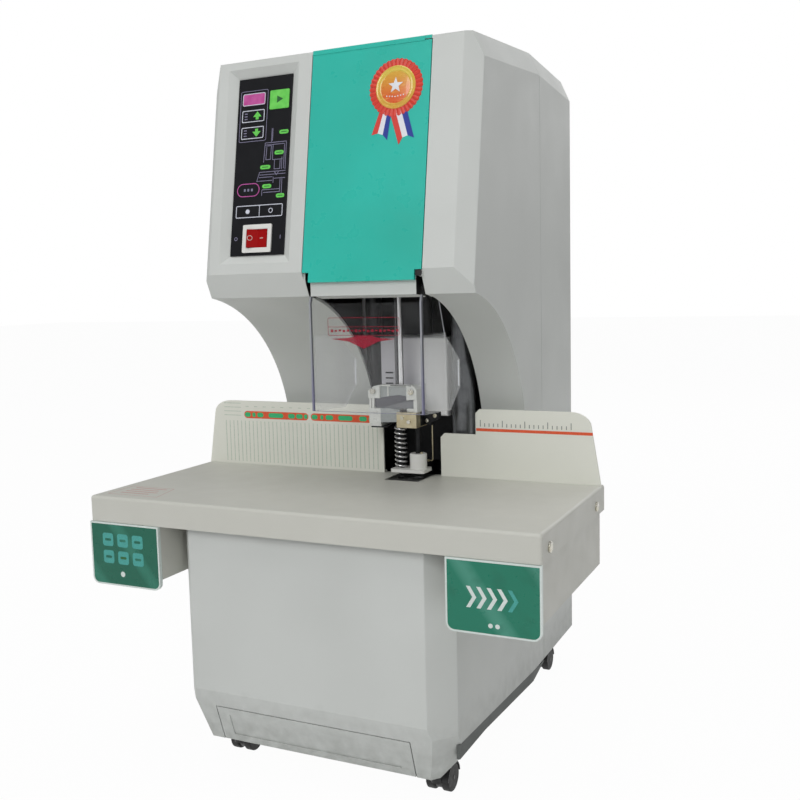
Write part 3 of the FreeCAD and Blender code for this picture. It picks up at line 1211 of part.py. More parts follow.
def caster_mounts():
    """Plates and swivel pins of the four casters, bolted under the cabinet."""
    solids = []
    for x, y in caster_places().values():
        top = BASE_Z
        low = top - CASTER_PLATE_T
        plate = box(x - CASTER_PLATE, x + CASTER_PLATE, y - CASTER_PLATE, y + CASTER_PLATE, low, top)
        pin_low = CASTER_WHEEL_R + CASTER_AXLE_R + 2
        solids.append(fuse(plate, rod(CASTER_PIN_R, (x, y, pin_low), (0, 0, 1), low - pin_low + 1)))
    return Part.makeCompound(solids)


def caster_fork(x, y):
    """Hood, web, boss and axle of one caster, which turn about the swivel pin."""
    cy = y + CASTER_TRAIL
    half = CASTER_WEB + CASTER_SIDE_GAP + CASTER_WHEEL_W + CASTER_SIDE_GAP
    hood = rod(CASTER_HOOD_R, (x - half, cy, CASTER_WHEEL_R), (1, 0, 0), 2 * half)
    hood = hood.common(box(x - BIG, x + BIG, cy - BIG, cy + BIG, CASTER_WHEEL_R + 1, BIG))
    web = rod(CASTER_WHEEL_R - 2, (x - CASTER_WEB, cy, CASTER_WHEEL_R), (1, 0, 0), 2 * CASTER_WEB)
    top = BASE_Z - CASTER_PLATE_T - CASTER_SIDE_GAP
    boss = rod(CASTER_BOSS_R, (x, y, CASTER_WHEEL_R), (0, 0, 1), top - CASTER_WHEEL_R)
    arm = box(x - CASTER_WEB, x + CASTER_WEB, y, cy, CASTER_WHEEL_R, top - 1)
    shape = fuse(hood, web, boss, arm)
    shape = shape.cut(rod(CASTER_PIN_R + PIN_FIT, (x, y, 0), (0, 0, 1), BIG / 10))
    for start in (x + CASTER_WEB, x - half - PAST):
        shape = shape.cut(rod(CASTER_WHEEL_R + 0.5, (start, cy, CASTER_WHEEL_R), (1, 0, 0),
                              half + PAST - CASTER_WEB))
    axle = rod(CASTER_AXLE_R, (x - half, cy, CASTER_WHEEL_R), (1, 0, 0), 2 * half)
    return fuse(shape, axle)


def caster_wheels(x, y):
    """The two wheels of one caster."""
    cy = y + CASTER_TRAIL
    wheels = []
    for start in (x + CASTER_WEB + CASTER_SIDE_GAP, x - CASTER_WEB - CASTER_SIDE_GAP - CASTER_WHEEL_W):
        wheel = rod(CASTER_WHEEL_R, (start, cy, CASTER_WHEEL_R), (1, 0, 0), CASTER_WHEEL_W)
        wheel = wheel.makeFillet(1.2, wheel.Edges)
        wheels.append(wheel.cut(rod(CASTER_AXLE_R + PIN_FIT, (start - 1, cy, CASTER_WHEEL_R),
                                    (1, 0, 0), CASTER_WHEEL_W + 2)))
    return Part.makeCompound(wheels)


# ================================================================ assembly
def build():
    """Every node's name and shape."""
    nodes = {"base_front_shell": base_front_shell(), "rear_shell": rear_shell(),
             "tower_front_shell": tower_front_shell(), "base_plate": base_plate(),
             "frame_side_plates": frame_side_plates(), "bed_plate": bed_plate(),
             "head_plate": head_plate(), "back_liner": back_liner(),
             "left_guide_column": guide_column(LEFT_COLUMN),
             "right_guide_column": guide_column(RIGHT_COLUMN), "anvil": anvil(),
             "chip_chute": chip_chute(), "work_table": work_table(), "left_fence": left_fence(),
             "right_fence": right_fence(), "sheet_screws": sheet_screws(),
             "waste_drawer": waste_drawer(), "control_panel": control_panel(),
             "control_board": control_board(), "switch_bezel": switch_bezel(),
             "power_rocker": power_rocker(), "service_door": door(), "hinge_pins": hinge_pins(),
             "guard": guard(), "lift_saddle": lift_saddle(), "saddle_cover": saddle_cover(),
             "tool_head": tool_head(), "head_screws": head_screws(), "heater_block": heater_block(),
             "spindle": spindle(), "presser_plate": presser_plate(), "nylon_bush": nylon_bush(),
             "presser_spring": presser_spring(), "lift_screw": lift_screw(),
             "lift_motor": lift_motor(), "drill_motor": drill_motor(),
             "motor_pulley": motor_pulley(), "spindle_pulley": spindle_pulley(),
             "drive_belt": drive_belt(), "power_supply": power_supply(),
             "mains_inlet": mains_inlet(), "caster_mounts": caster_mounts()}
    for name in KEYS:
        nodes[name] = key(name)
    for name, side in SIDES.items():
        nodes[name + "_housing"] = drawer_housing(side)
        nodes[name + "_drawer_tray"] = drawer_tray(side)
        nodes[name + "_drawer_plate"] = drawer_plate(side)
    for name, (x, y) in caster_places().items():
        nodes[name + "_fork"] = caster_fork(x, y)
        nodes[name + "_wheels"] = caster_wheels(x, y)
    return nodes


def main():
    """Write one STEP file per node."""
    os.makedirs("parts", exist_ok=True)
    for name, shape in build().items():
        shape.exportStep("parts/" + name + ".step")
        print(name, len(shape.Solids), "solids", round(shape.Volume / 1000.0, 2), "cm3",
              "valid" if shape.isValid() else "NOT VALID")


main()
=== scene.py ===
"""Looks of a document riveting machine: the finishes of its parts, and the prints, trims, screws and
springs that sit on them.

Sizes are in millimetres in the classes and in metres in the scene. X is to the right, Y to the back
and Z up, with the origin on the floor under the middle of the machine.
"""
import logging
import math
from dataclasses import dataclass
from enum import Enum

import bmesh
import bpy
from mathutils import Matrix, Vector
from mathutils.bvhtree import BVHTree


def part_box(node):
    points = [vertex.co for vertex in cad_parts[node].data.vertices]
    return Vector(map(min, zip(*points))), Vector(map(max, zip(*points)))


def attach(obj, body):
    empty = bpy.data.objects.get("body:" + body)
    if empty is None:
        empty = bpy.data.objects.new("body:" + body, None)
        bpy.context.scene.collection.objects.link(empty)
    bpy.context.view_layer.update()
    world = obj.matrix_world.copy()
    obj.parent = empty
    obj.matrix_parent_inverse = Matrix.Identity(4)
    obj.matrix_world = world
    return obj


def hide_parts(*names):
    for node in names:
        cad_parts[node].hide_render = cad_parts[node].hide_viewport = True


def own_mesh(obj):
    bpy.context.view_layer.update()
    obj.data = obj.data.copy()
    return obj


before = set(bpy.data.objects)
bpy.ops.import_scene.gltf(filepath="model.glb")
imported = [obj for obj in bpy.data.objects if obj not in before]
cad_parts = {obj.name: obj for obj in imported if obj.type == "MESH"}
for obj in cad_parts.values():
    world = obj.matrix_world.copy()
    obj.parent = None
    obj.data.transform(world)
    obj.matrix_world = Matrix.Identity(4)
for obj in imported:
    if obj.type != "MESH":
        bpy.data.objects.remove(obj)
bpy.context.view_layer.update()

LOG = logging.getLogger("riveting_machine")
MM = 0.001
INK = 0.12          # thickness of a printed or stuck-on mark
SINK = 0.05         # how far a mark reaches into what carries it
RAY_FROM = 900.0    # height above every surface, from which a seat is sounded
FACE_FOOT = (0, -115.5, 463)        # middle of the head's leaning face at its lower edge
FACE_BACK, FACE_UP = 34.5, 200.5    # how far that face runs back and up
TILT = math.atan2(FACE_BACK, FACE_UP)
FACE_H = math.hypot(FACE_BACK, FACE_UP)


# ---------------------------------------------------------------- small helpers
def linear(colour: str) -> tuple[float, float, float, float]:
    """Turn an sRGB hex colour into linear light.

    Args:
        colour: Six hex digits after a hash.

    Returns:
        Red, green, blue and an alpha of one.
    """
    parts = [int(colour[i:i + 2], 16) / 255 for i in (1, 3, 5)]
    light = [c / 12.92 if c <= 0.04045 else ((c + 0.055) / 1.055) ** 2.4 for c in parts]
    return (light[0], light[1], light[2], 1.0)


def add_node(tree: bpy.types.NodeTree, kind: str, inputs: dict | None = None, **settings) -> bpy.types.Node:
    """Add a node with its settings, and feed its inputs.

    Args:
        tree: The shader or geometry tree.
        kind: The node's type name.
        inputs: Sockets by name or number, each with a value or with another node's output.
        settings: Properties of the node itself.

    Returns:
        The new node.
    """
    node = tree.nodes.new(kind)
    for name, value in settings.items():
        setattr(node, name, value)
    for key, value in (inputs or {}).items():
        if isinstance(value, bpy.types.NodeSocket):
            tree.links.new(value, node.inputs[key])
        else:
            node.inputs[key].default_value = value
    return node


def add_object(name: str, data: bpy.types.ID) -> bpy.types.Object:
    """Add an object with its data to the scene."""
    made = bpy.data.objects.new(name, data)
    bpy.context.scene.collection.objects.link(made)
    return made


def place(origin: tuple, across: tuple, upwards: tuple) -> Matrix:
    """Local frame on a surface.

    Args:
        origin: Its zero point.
        across: Direction of the local X.
        upwards: Direction of the local Y. The local Z points out of the surface.

    Returns:
        The matrix from local to machine millimetres.
    """
    x = Vector(across).normalized()
    y = Vector(upwards).normalized()
    z = x.cross(y)
    turned = Matrix((x, y, z)).transposed().to_4x4()
    return Matrix.Translation(Vector(origin)) @ turned


LEANING = place(FACE_FOOT, (1, 0, 0), (0, math.sin(TILT), math.cos(TILT)))
FACING = place((0, 0, 0), (1, 0, 0), (0, 0, 1))
BEHIND = place((0, 0, 0), (-1, 0, 0), (0, 0, 1))
ABOVE = place((0, 0, 0), (1, 0, 0), (0, 1, 0))
RIGHT_SIDE = place((0, 0, 0), (0, 1, 0), (0, 0, 1))
LEFT_SIDE = place((0, 0, 0), (0, -1, 0), (0, 0, 1))


def on_circle(radius: float, turn: float, cx: float = 0.0, cy: float = 0.0) -> tuple[float, float]:
    """Point of a circle at a turn in radians."""
    return cx + radius * math.cos(turn), cy + radius * math.sin(turn)


def rounded(x0: float, x1: float, y0: float, y1: float, radius: float, steps: int = 5) -> list:
    """Outline of a rectangle with round corners, counter-clockwise."""
    radius = min(radius, (x1 - x0) / 2 - 1e-3, (y1 - y0) / 2 - 1e-3)
    corners = ((x1 - radius, y0 + radius, -90), (x1 - radius, y1 - radius, 0),
               (x0 + radius, y1 - radius, 90), (x0 + radius, y0 + radius, 180))
    points = []
    for cx, cy, start in corners:
        for step in range(steps + 1):
            a = math.radians(start + 90 * step / steps)
            points.append(on_circle(radius, a, cx, cy))
    return points


def disc(cx: float, cy: float, radius: float, steps: int = 40) -> list:
    """Outline of a circle."""
    return [on_circle(radius, 2 * math.pi * i / steps, cx, cy) for i in range(steps)]


def star(cx: float, cy: float, outer: float, inner: float, tips: int = 5) -> list:
    """Outline of a star with one tip up."""
    points = []
    for i in range(2 * tips):
        radius = outer if i % 2 == 0 else inner
        a = math.pi / 2 + math.pi * i / tips
        points.append(on_circle(radius, a, cx, cy))
    return points


def stroke(points: list, width: float, closed: bool = False) -> tuple[list, list]:
    """Both sides of a line of even width.

    Args:
        points: Its middle line.
        width: Its width.
        closed: Whether the last point joins the first.

    Returns:
        The points on its left and on its right.
    """
    left = []
    right = []
    count = len(points)
    for i, (x, y) in enumerate(points):
        before = points[i - 1] if closed or i > 0 else None
        after = points[(i + 1) % count] if closed or i < count - 1 else None
        normals = []
        for first, second in ((before, (x, y)), ((x, y), after)):
            if first is None or second is None:
                continue
            dx = second[0] - first[0]
            dy = second[1] - first[1]
            length = math.hypot(dx, dy)
            normals.append((-dy / length, dx / length))
        nx = sum(n[0] for n in normals) / len(normals)
        ny = sum(n[1] for n in normals) / len(normals)
        reach = width / 2 / max(nx * nx + ny * ny, 0.3)
        left.append((x + nx * reach, y + ny * reach))
        right.append((x - nx * reach, y - ny * reach))
    return left, right


# ---------------------------------------------------------------- finishes
@dataclass(frozen=True)
class Finish:
    """A surface: what it is made of and how it was made.

    Attributes:
        name: The material's plain name.
        colour: Its sRGB colour.
        roughness: Its roughness.
        metallic: One for bare metal.
    """

    name: str
    colour: str
    roughness: float = 0.5
    metallic: float = 0.0

    def material(self) -> bpy.types.Material:
        """The finish's material, made on first use."""
        known = bpy.data.materials.get(self.name)
        if known:
            return known
        material = bpy.data.materials.new(self.name)
        material.use_nodes = True
        tree = material.node_tree
        shader = tree.nodes["Principled BSDF"]
        shader.inputs["Base Color"].default_value = linear(self.colour)
        shader.inputs["Roughness"].default_value = self.roughness
        shader.inputs["Metallic"].default_value = self.metallic
        at = add_node(tree, "ShaderNodeTexCoord").outputs["Object"]
        self.dress(tree, shader, at)
        material.diffuse_color = linear(self.colour)
        return material

    def dress(self, tree: bpy.types.NodeTree, shader: bpy.types.Node, at: bpy.types.NodeSocket) -> None:
        """Draw the finish's pattern. The plain finish has a fine uneven gloss."""
        self.gloss(tree, shader, at, 4.0, 0.06)

    def noise(self, tree: bpy.types.NodeTree, at: bpy.types.NodeSocket, size: float, detail: float = 2.0,
              stretch: tuple = (1.0, 1.0, 1.0)) -> bpy.types.NodeSocket:
        """Cloudy pattern whose grains measure size millimetres, drawn out along the large stretches."""
        scaled = add_node(tree, "ShaderNodeMapping", {0: at, 3: tuple(1 / s for s in stretch)})
        return add_node(tree, "ShaderNodeTexNoise", {"Vector": scaled.outputs[0], "Scale": 1 / (size * MM),
                                                     "Detail": detail, "Roughness": 0.55}).outputs[0]

    def tone(self, tree: bpy.types.NodeTree, shader: bpy.types.Node, pattern: bpy.types.NodeSocket,
             other: str, low: float = 0.4, high: float = 0.7) -> bpy.types.NodeSocket:
        """Turn the colour towards another one where the pattern goes from low to high."""
        share = add_node(tree, "ShaderNodeMapRange", {0: pattern, 1: low, 2: high}, clamp=True)
        base = shader.inputs["Base Color"]
        first = base.links[0].from_socket if base.is_linked else tuple(base.default_value)
        mixed = add_node(tree, "ShaderNodeMix", {0: share.outputs[0], 6: first, 7: linear(other)},
                         data_type="RGBA")
        tree.links.new(mixed.outputs[2], base)
        return mixed.outputs[2]

    def gloss(self, tree: bpy.types.NodeTree, shader: bpy.types.Node, at: bpy.types.NodeSocket,
              size: float, swing: float) -> None:
        """Let the roughness wander by swing over patches of the given size."""
        pattern = self.noise(tree, at, size, 3.0)
        value = add_node(tree, "ShaderNodeMapRange", {0: pattern, 1: 0.3, 2: 0.7, 3: self.roughness - swing,
                                                      4: self.roughness + swing})
        tree.links.new(value.outputs[0], shader.inputs["Roughness"])

    def relief(self, tree: bpy.types.NodeTree, shader: bpy.types.Node, pattern: bpy.types.NodeSocket,
               depth: float, strength: float = 1.0) -> None:
        """Raise and lower the surface by depth millimetres with the pattern."""
        bump = add_node(tree, "ShaderNodeBump", {"Height": pattern, "Distance": depth * MM,
                                                 "Strength": strength})
        tree.links.new(bump.outputs[0], shader.inputs["Normal"])

    def height(self, tree: bpy.types.NodeTree, at: bpy.types.NodeSocket, low: float,
               high: float) -> bpy.types.NodeSocket:
        """One below a height of low millimetres, falling to nought at high."""
        split = add_node(tree, "ShaderNodeSeparateXYZ", {0: at})
        return add_node(tree, "ShaderNodeMapRange", {0: split.outputs[2], 1: low * MM, 2: high * MM, 3: 1.0,
                                                     4: 0.0}, clamp=True).outputs[0]


@dataclass(frozen=True)
class SparkedABS(Finish):
    """Injection-moulded ABS from a spark-eroded mould: a fine even grain that breaks up the shine.

    Attributes:
        dust_and_shade: Colour of the dust that the lowest parts gather, and on the skirts a deeper painted
            shade.
    """

    dust_and_shade: str = "#a9aca8"

    def dress(self, tree: bpy.types.NodeTree, shader: bpy.types.Node, at: bpy.types.NodeSocket) -> None:
        """Grain of 0.3 mm drawn at 1.1 mm, slow flow marks and dust near the floor; on the skirts these
        deepen their painted shade.
        """
        self.tone(tree, shader, self.noise(tree, at, 120.0, 1.0), self.dust_and_shade, 0.45, 2.2)
        dust = add_node(tree, "ShaderNodeMath", {0: self.height(tree, at, 30.0, 110.0),
                                                 1: self.noise(tree, at, 12.0, 4.0)}, operation="MULTIPLY")
        self.tone(tree, shader, dust.outputs[0], self.dust_and_shade, 0.15, 0.75)
        self.gloss(tree, shader, at, 30.0, 0.05)
        self.relief(tree, shader, self.noise(tree, at, 1.1, 2.0), 0.035, 0.55)
        shader.inputs["Specular IOR Level"].default_value = 0.42


@dataclass(frozen=True)
class PowderCoat(Finish):
    """Baked powder paint on sheet steel: a satin orange peel, worn paler along scuffs.

    Attributes:
        scuff: Colour of the scuffs.
    """

    scuff: str = "#c4c4bd"

    def dress(self, tree: bpy.types.NodeTree, shader: bpy.types.Node, at: bpy.types.NodeSocket) -> None:
        """Orange peel of 2 mm waves and thin scuffs along X."""
        self.tone(tree, shader, self.noise(tree, at, 70.0, 3.0), self.scuff, 0.5, 1.2)
        worn = self.noise(tree, at, 3.0, 5.0, (9.0, 1.0, 1.0))
        self.tone(tree, shader, worn, self.scuff, 0.66, 0.95)
        self.gloss(tree, shader, at, 22.0, 0.07)
        self.relief(tree, shader, self.noise(tree, at, 2.0, 1.0), 0.03, 0.45)


@dataclass(frozen=True)
class GlossABS(Finish):
    """High-gloss moulded ABS from a polished mould, with long faint sink waves under its clear shine.

    Attributes:
        shade: Slightly deeper colour of its thick places.
        coat: Weight of its clear shine.
        shine: Strength of its own reflection.
    """

    shade: str = "#2aa794"
    coat: float = 0.35
    shine: float = 0.5

    def dress(self, tree: bpy.types.NodeTree, shader: bpy.types.Node, at: bpy.types.NodeSocket) -> None:
        """Slow tone changes, a soft wave of 25 mm and hairline wiping marks in the gloss."""
        self.tone(tree, shader, self.noise(tree, at, 90.0, 1.0), self.shade, 0.35, 1.3)
        self.gloss(tree, shader, at, 14.0, 0.04)
        self.relief(tree, shader, self.noise(tree, at, 60.0, 0.0), 0.04, 0.08)
        shader.inputs["Specular IOR Level"].default_value = self.shine
        shader.inputs["Coat Weight"].default_value = self.coat
        shader.inputs["Coat Roughness"].default_value = 0.12


@dataclass(frozen=True)
class ScreenInk(Finish):
    """Screen-printed ink: flat and even, with a slight speckle from the screen's mesh.

    Attributes:
        cover: One for an opaque ink, less for one that what lies behind shows through.
    """

    cover: float = 1.0

    def dress(self, tree: bpy.types.NodeTree, shader: bpy.types.Node, at: bpy.types.NodeSocket) -> None:
        """Speckle of 0.2 mm mesh drawn at 0.8 mm."""
        channels = [int(self.colour[i:i + 2], 16) for i in (1, 3, 5)]
        paler = "#" + "".join(f"{min(255, int(c * 1.12) + 6):02x}" for c in channels)
        self.tone(tree, shader, self.noise(tree, at, 0.8, 2.0), paler, 0.4, 0.8)
        self.gloss(tree, shader, at, 3.0, 0.05)
        shader.inputs["Alpha"].default_value = self.cover


@dataclass(frozen=True)
class FasciaFilm(Finish):
    """Back-printed polycarbonate film over the control panel: deep colour under a velvet surface."""

    def dress(self, tree: bpy.types.NodeTree, shader: bpy.types.Node, at: bpy.types.NodeSocket) -> None:
        """Velvet texture of 0.15 mm drawn at 0.7 mm, and a trace of finger marks."""
        self.tone(tree, shader, self.noise(tree, at, 16.0, 3.0), "#191b20", 0.5, 1.1)
        self.gloss(tree, shader, at, 9.0, 0.05)
        self.relief(tree, shader, self.noise(tree, at, 0.7, 1.0), 0.02, 0.4)
        shader.inputs["Specular IOR Level"].default_value = 0.25


@dataclass(frozen=True)
class DomedKey(Finish):
    """A membrane key under embossed film, with painted light in paler patches, as if a lamp showed through
    towards its crown.
    """

    crown: str = "#7adb62"

    def dress(self, tree: bpy.types.NodeTree, shader: bpy.types.Node, at: bpy.types.NodeSocket) -> None:
        """Soft patches of painted light over 7 mm, and the film's fine texture."""
        self.tone(tree, shader, self.noise(tree, at, 7.0, 1.0), self.crown, 0.3, 0.75)
        self.gloss(tree, shader, at, 5.0, 0.05)
        self.relief(tree, shader, self.noise(tree, at, 0.8, 1.0), 0.02, 0.35)


@dataclass(frozen=True)
class WorkedSteel(Finish):
    """Machined, ground or rolled metal, with tool lines along one direction.

    Attributes:
        lay: How far the lines are drawn out along X, Y and Z.
        line: Width of a line.
        tarnish: Colour of its duller patches.
        depth: Depth of its lines.
    """

    lay: tuple = (1.0, 1.0, 30.0)
    line: float = 0.5
    tarnish: str = "#8d8c88"
    depth: float = 0.012

    def dress(self, tree: bpy.types.NodeTree, shader: bpy.types.Node, at: bpy.types.NodeSocket) -> None:
        """Tool lines drawn at least 0.5 mm wide, with duller patches of 10 mm."""
        lines = self.noise(tree, at, self.line, 2.0, self.lay)
        self.tone(tree, shader, self.noise(tree, at, 10.0, 4.0), self.tarnish, 0.45, 0.9)
        rough = add_node(tree, "ShaderNodeMapRange", {0: lines, 1: 0.25, 2: 0.75, 3: self.roughness * 0.75,
                                                      4: min(1.0, self.roughness * 1.3)})
        tree.links.new(rough.outputs[0], shader.inputs["Roughness"])
        self.relief(tree, shader, lines, self.depth, 0.5)


@dataclass(frozen=True)
class StreakLitSteel(WorkedSteel):
    """Steel with straight streaks of painted highlight and painted shade along it.

    Attributes:
        tracks: For each painted streak, highlight and shade alike, its colour, and how far across it starts
            and is full, in millimetres along X.
    """

    tracks: tuple = ()

    def dress(self, tree: bpy.types.NodeTree, shader: bpy.types.Node, at: bpy.types.NodeSocket) -> None:
        """Tool lines, and the painted streaks in turn."""
        super().dress(tree, shader, at)
        split = add_node(tree, "ShaderNodeSeparateXYZ", {0: at})
        for colour, start, full in self.tracks:
            # each streak is painted light: a highlight where pale, shade where dark
            self.tone(tree, shader, split.outputs[0], colour, start * MM, full * MM)


@dataclass(frozen=True)
class SideLitPaint(PowderCoat):
    """Powder paint made paler towards its right as a painted highlight, its left darker in painted shade.

    Attributes:
        worn: Colour of the painted highlight at the right.
        span: Where the painted highlight starts and is full, in millimetres along X.
    """

    worn: str = "#f4f5f5"
    span: tuple = (20.0, 42.0)

    def dress(self, tree: bpy.types.NodeTree, shader: bpy.types.Node, at: bpy.types.NodeSocket) -> None:
        """Orange peel, and the painted highlight at the right."""
        super().dress(tree, shader, at)
        split = add_node(tree, "ShaderNodeSeparateXYZ", {0: at})
        # painted highlight growing towards the right; the left stays in painted shade
        self.tone(tree, shader, split.outputs[0], self.worn, self.span[0] * MM, self.span[1] * MM)


@dataclass(frozen=True)
class EdgeGlow(Finish):
    """Polished cut edge of clear sheet, with a painted highlight: pale where light enters and violet lower
    down.

    Attributes:
        deep: Its colour lower down.
        turn: Heights between which it changes, in millimetres.
    """

    deep: str = "#84849b"
    turn: tuple = (352.0, 392.0)

    def dress(self, tree: bpy.types.NodeTree, shader: bpy.types.Node, at: bpy.types.NodeSocket) -> None:
        """Painted change of colour with height, and saw marks of 1.2 mm under the polish."""
        self.tone(tree, shader, self.height(tree, at, *self.turn), self.deep, 0.0, 1.0)
        self.gloss(tree, shader, at, 1.2, 0.05)


@dataclass(frozen=True)
class CastMetal(Finish):
    """Die-cast aluminium: bright, with a sandy skin and small dark pits."""

    pit: str = "#85868a"

    def dress(self, tree: bpy.types.NodeTree, shader: bpy.types.Node, at: bpy.types.NodeSocket) -> None:
        """Skin of 1 mm grains with pits of 0.6 mm."""
        self.tone(tree, shader, self.noise(tree, at, 1.6, 4.0), self.pit, 0.56, 0.8)
        self.gloss(tree, shader, at, 5.0, 0.1)
        self.relief(tree, shader, self.noise(tree, at, 1.0, 3.0), 0.05, 0.6)


@dataclass(frozen=True)
class ZincPlated(Finish):
    """Bright zinc plating with a yellow-blue passivation bloom."""

    bloom: str = "#b9b08e"

    def dress(self, tree: bpy.types.NodeTree, shader: bpy.types.Node, at: bpy.types.NodeSocket) -> None:
        """Spangles of 3 mm and a bloom of 14 mm."""
        cells = add_node(tree, "ShaderNodeTexVoronoi", {"Vector": at, "Scale": 1 / (3.0 * MM)})
        self.tone(tree, shader, self.noise(tree, at, 14.0, 3.0), self.bloom, 0.45, 0.8)
        value = add_node(tree, "ShaderNodeMapRange", {0: cells.outputs[0], 1: 0.0, 2: 0.8,
                                                      3: self.roughness - 0.08, 4: self.roughness + 0.1})
        tree.links.new(value.outputs[0], shader.inputs["Roughness"])


@dataclass(frozen=True)
class ClearAcrylic(Finish):
    """Cast acrylic sheet, polished, with wiping haze below the height that hands reach; on the cheeks the
    haze is also a painted sheen.

    Attributes:
        hazed: Height under which the haze lies, in millimetres.
        back: Depth where the cheeks' haze is full, and where it is weakest, in millimetres along Y.
        cheek: Haze on the cheeks at these two depths, part wiping haze and part painted sheen.
        pane: Haze on the front pane.
    """

    hazed: float = 404.0
    back: tuple = (-40.0, -75.0)
    cheek: tuple = (0.26, 0.19)
    pane: float = 0.008

    def dress(self, tree: bpy.types.NodeTree, shader: bpy.types.Node, at: bpy.types.NodeSocket) -> None:
        """Haze of 20 mm in an otherwise clear sheet, stronger on the cheeks, where it adds a painted sheen,
        than on the pane.
        """
        split = add_node(tree, "ShaderNodeSeparateXYZ", {0: at})
        depth = add_node(tree, "ShaderNodeMapRange", {0: split.outputs[1], 1: self.back[0] * MM,
                                                      2: self.back[1] * MM, 3: self.cheek[0],
                                                      4: self.cheek[1]}, clamp=True)
        on_pane = add_node(tree, "ShaderNodeMapRange", {0: split.outputs[1], 1: -105.5 * MM, 2: -106.2 * MM},
                           clamp=True)
        amount = add_node(tree, "ShaderNodeMix", {0: on_pane.outputs[0], 2: depth.outputs[0], 3: self.pane})
        low = self.height(tree, at, self.hazed - 2.0, self.hazed + 2.0)
        under = add_node(tree, "ShaderNodeMath", {0: low, 1: amount.outputs[0]}, operation="MULTIPLY")
        haze = self.noise(tree, at, 20.0, 4.0)
        cover = add_node(tree, "ShaderNodeMapRange", {0: haze, 1: 0.3, 2: 0.8, 3: 0.008, 4: 0.024},
                         clamp=True)
        alpha = add_node(tree, "ShaderNodeMath", {0: cover.outputs[0], 1: under.outputs[0]}, operation="ADD")
        tree.links.new(alpha.outputs[0], shader.inputs["Alpha"])


@dataclass(frozen=True)
class Rubber(Finish):
    """Moulded rubber: dull, slightly grey with bloom."""

    bloom: str = "#2c2c2b"

    def dress(self, tree: bpy.types.NodeTree, shader: bpy.types.Node, at: bpy.types.NodeSocket) -> None:
        """Bloom patches of 5 mm and a pebbled skin of 0.6 mm."""
        self.tone(tree, shader, self.noise(tree, at, 5.0, 4.0), self.bloom, 0.45, 0.8)
        self.gloss(tree, shader, at, 4.0, 0.06)
        self.relief(tree, shader, self.noise(tree, at, 0.6, 2.0), 0.04, 0.5)


@dataclass(frozen=True)
class SatinRibbon(Finish):
    """Printed satin ribbon with a fine cross weave and a soft sheen."""

    def dress(self, tree: bpy.types.NodeTree, shader: bpy.types.Node, at: bpy.types.NodeSocket) -> None:
        """Weave of 0.25 mm threads drawn at 0.6 mm."""
        weave = add_node(tree, "ShaderNodeTexWave", {"Vector": at, "Scale": 1 / (0.6 * MM) / 6.3,
                                                     "Distortion": 0.6}, bands_direction="Z")
        self.gloss(tree, shader, at, 3.0, 0.05)
        self.relief(tree, shader, weave.outputs[1], 0.03, 0.5)
        shader.inputs["Sheen Weight"].default_value = 0.25


@dataclass(frozen=True)
class FoilPrint(Finish):
    """Printed metal foil of the rosette's disc, warmer towards its lower edge."""

    lower: str = "#e2622a"
    warm_at: tuple = (613.0, 634.0)

    def dress(self, tree: bpy.types.NodeTree, shader: bpy.types.Node, at: bpy.types.NodeSocket) -> None:
        """Gold above, orange below, with a brushed shimmer of 1.5 mm."""
        self.tone(tree, shader, self.height(tree, at, *self.warm_at), self.lower, 0.0, 1.0)
        self.tone(tree, shader, self.noise(tree, at, 1.5, 2.0, (5.0, 1.0, 1.0)), "#f3d36b", 0.55, 0.9)
        self.gloss(tree, shader, at, 3.0, 0.08)
        shader.inputs["Coat Weight"].default_value = 0.5


@dataclass(frozen=True)
class CircuitLaminate(Finish):
    """Glass-epoxy circuit board with copper tracks under green lacquer."""

    def dress(self, tree: bpy.types.NodeTree, shader: bpy.types.Node, at: bpy.types.NodeSocket) -> None:
        """Tracks 1 mm wide on a 4 mm grid."""
        bricks = add_node(tree, "ShaderNodeTexBrick", {"Vector": at, "Scale": 1 / (8.0 * MM),
                                                       "Mortar Size": 0.06, "Color1": (0, 0, 0, 1),
                                                       "Color2": (0, 0, 0, 1), "Mortar": (1, 1, 1, 1)})
        self.tone(tree, shader, bricks.outputs[0], "#2f9a5c", 0.2, 0.8)
        shader.inputs["Coat Weight"].default_value = 0.4


@dataclass(frozen=True)
class PrintedPlate(Finish):
    """Reverse-printed glossy label plate in deep green, with soft diagonal bands of paler green.

    Attributes:
        band: Colour of the bands.
        centre: Where the bands gather, in millimetres across.
    """

    band: str = "#5ba58c"
    centre: float = 0.0

    def dress(self, tree: bpy.types.NodeTree, shader: bpy.types.Node, at: bpy.types.NodeSocket) -> None:
        """Diagonal bands of 26 mm that fade out, and deeper patches of 18 mm."""
        turned = add_node(tree, "ShaderNodeMapping", {0: at, 1: (-self.centre * MM, 0.0, -0.205),
                                                      2: (0.0, math.radians(38), 0.0)})
        wave = add_node(tree, "ShaderNodeTexWave",
                        {"Vector": turned.outputs[0], "Scale": 6.2, "Distortion": 1.2,
                                                    "Detail": 1.0}, bands_direction="X")
        self.tone(tree, shader, wave.outputs[1], self.band, 0.75, 1.25)
        self.tone(tree, shader, self.noise(tree, at, 18.0, 2.0), "#1d6a54", 0.5, 0.95)
        self.gloss(tree, shader, at, 8.0, 0.04)
        shader.inputs["Specular IOR Level"].default_value = 0.3
        shader.inputs["Coat Weight"].default_value = 0.06
        shader.inputs["Coat Roughness"].default_value = 0.15


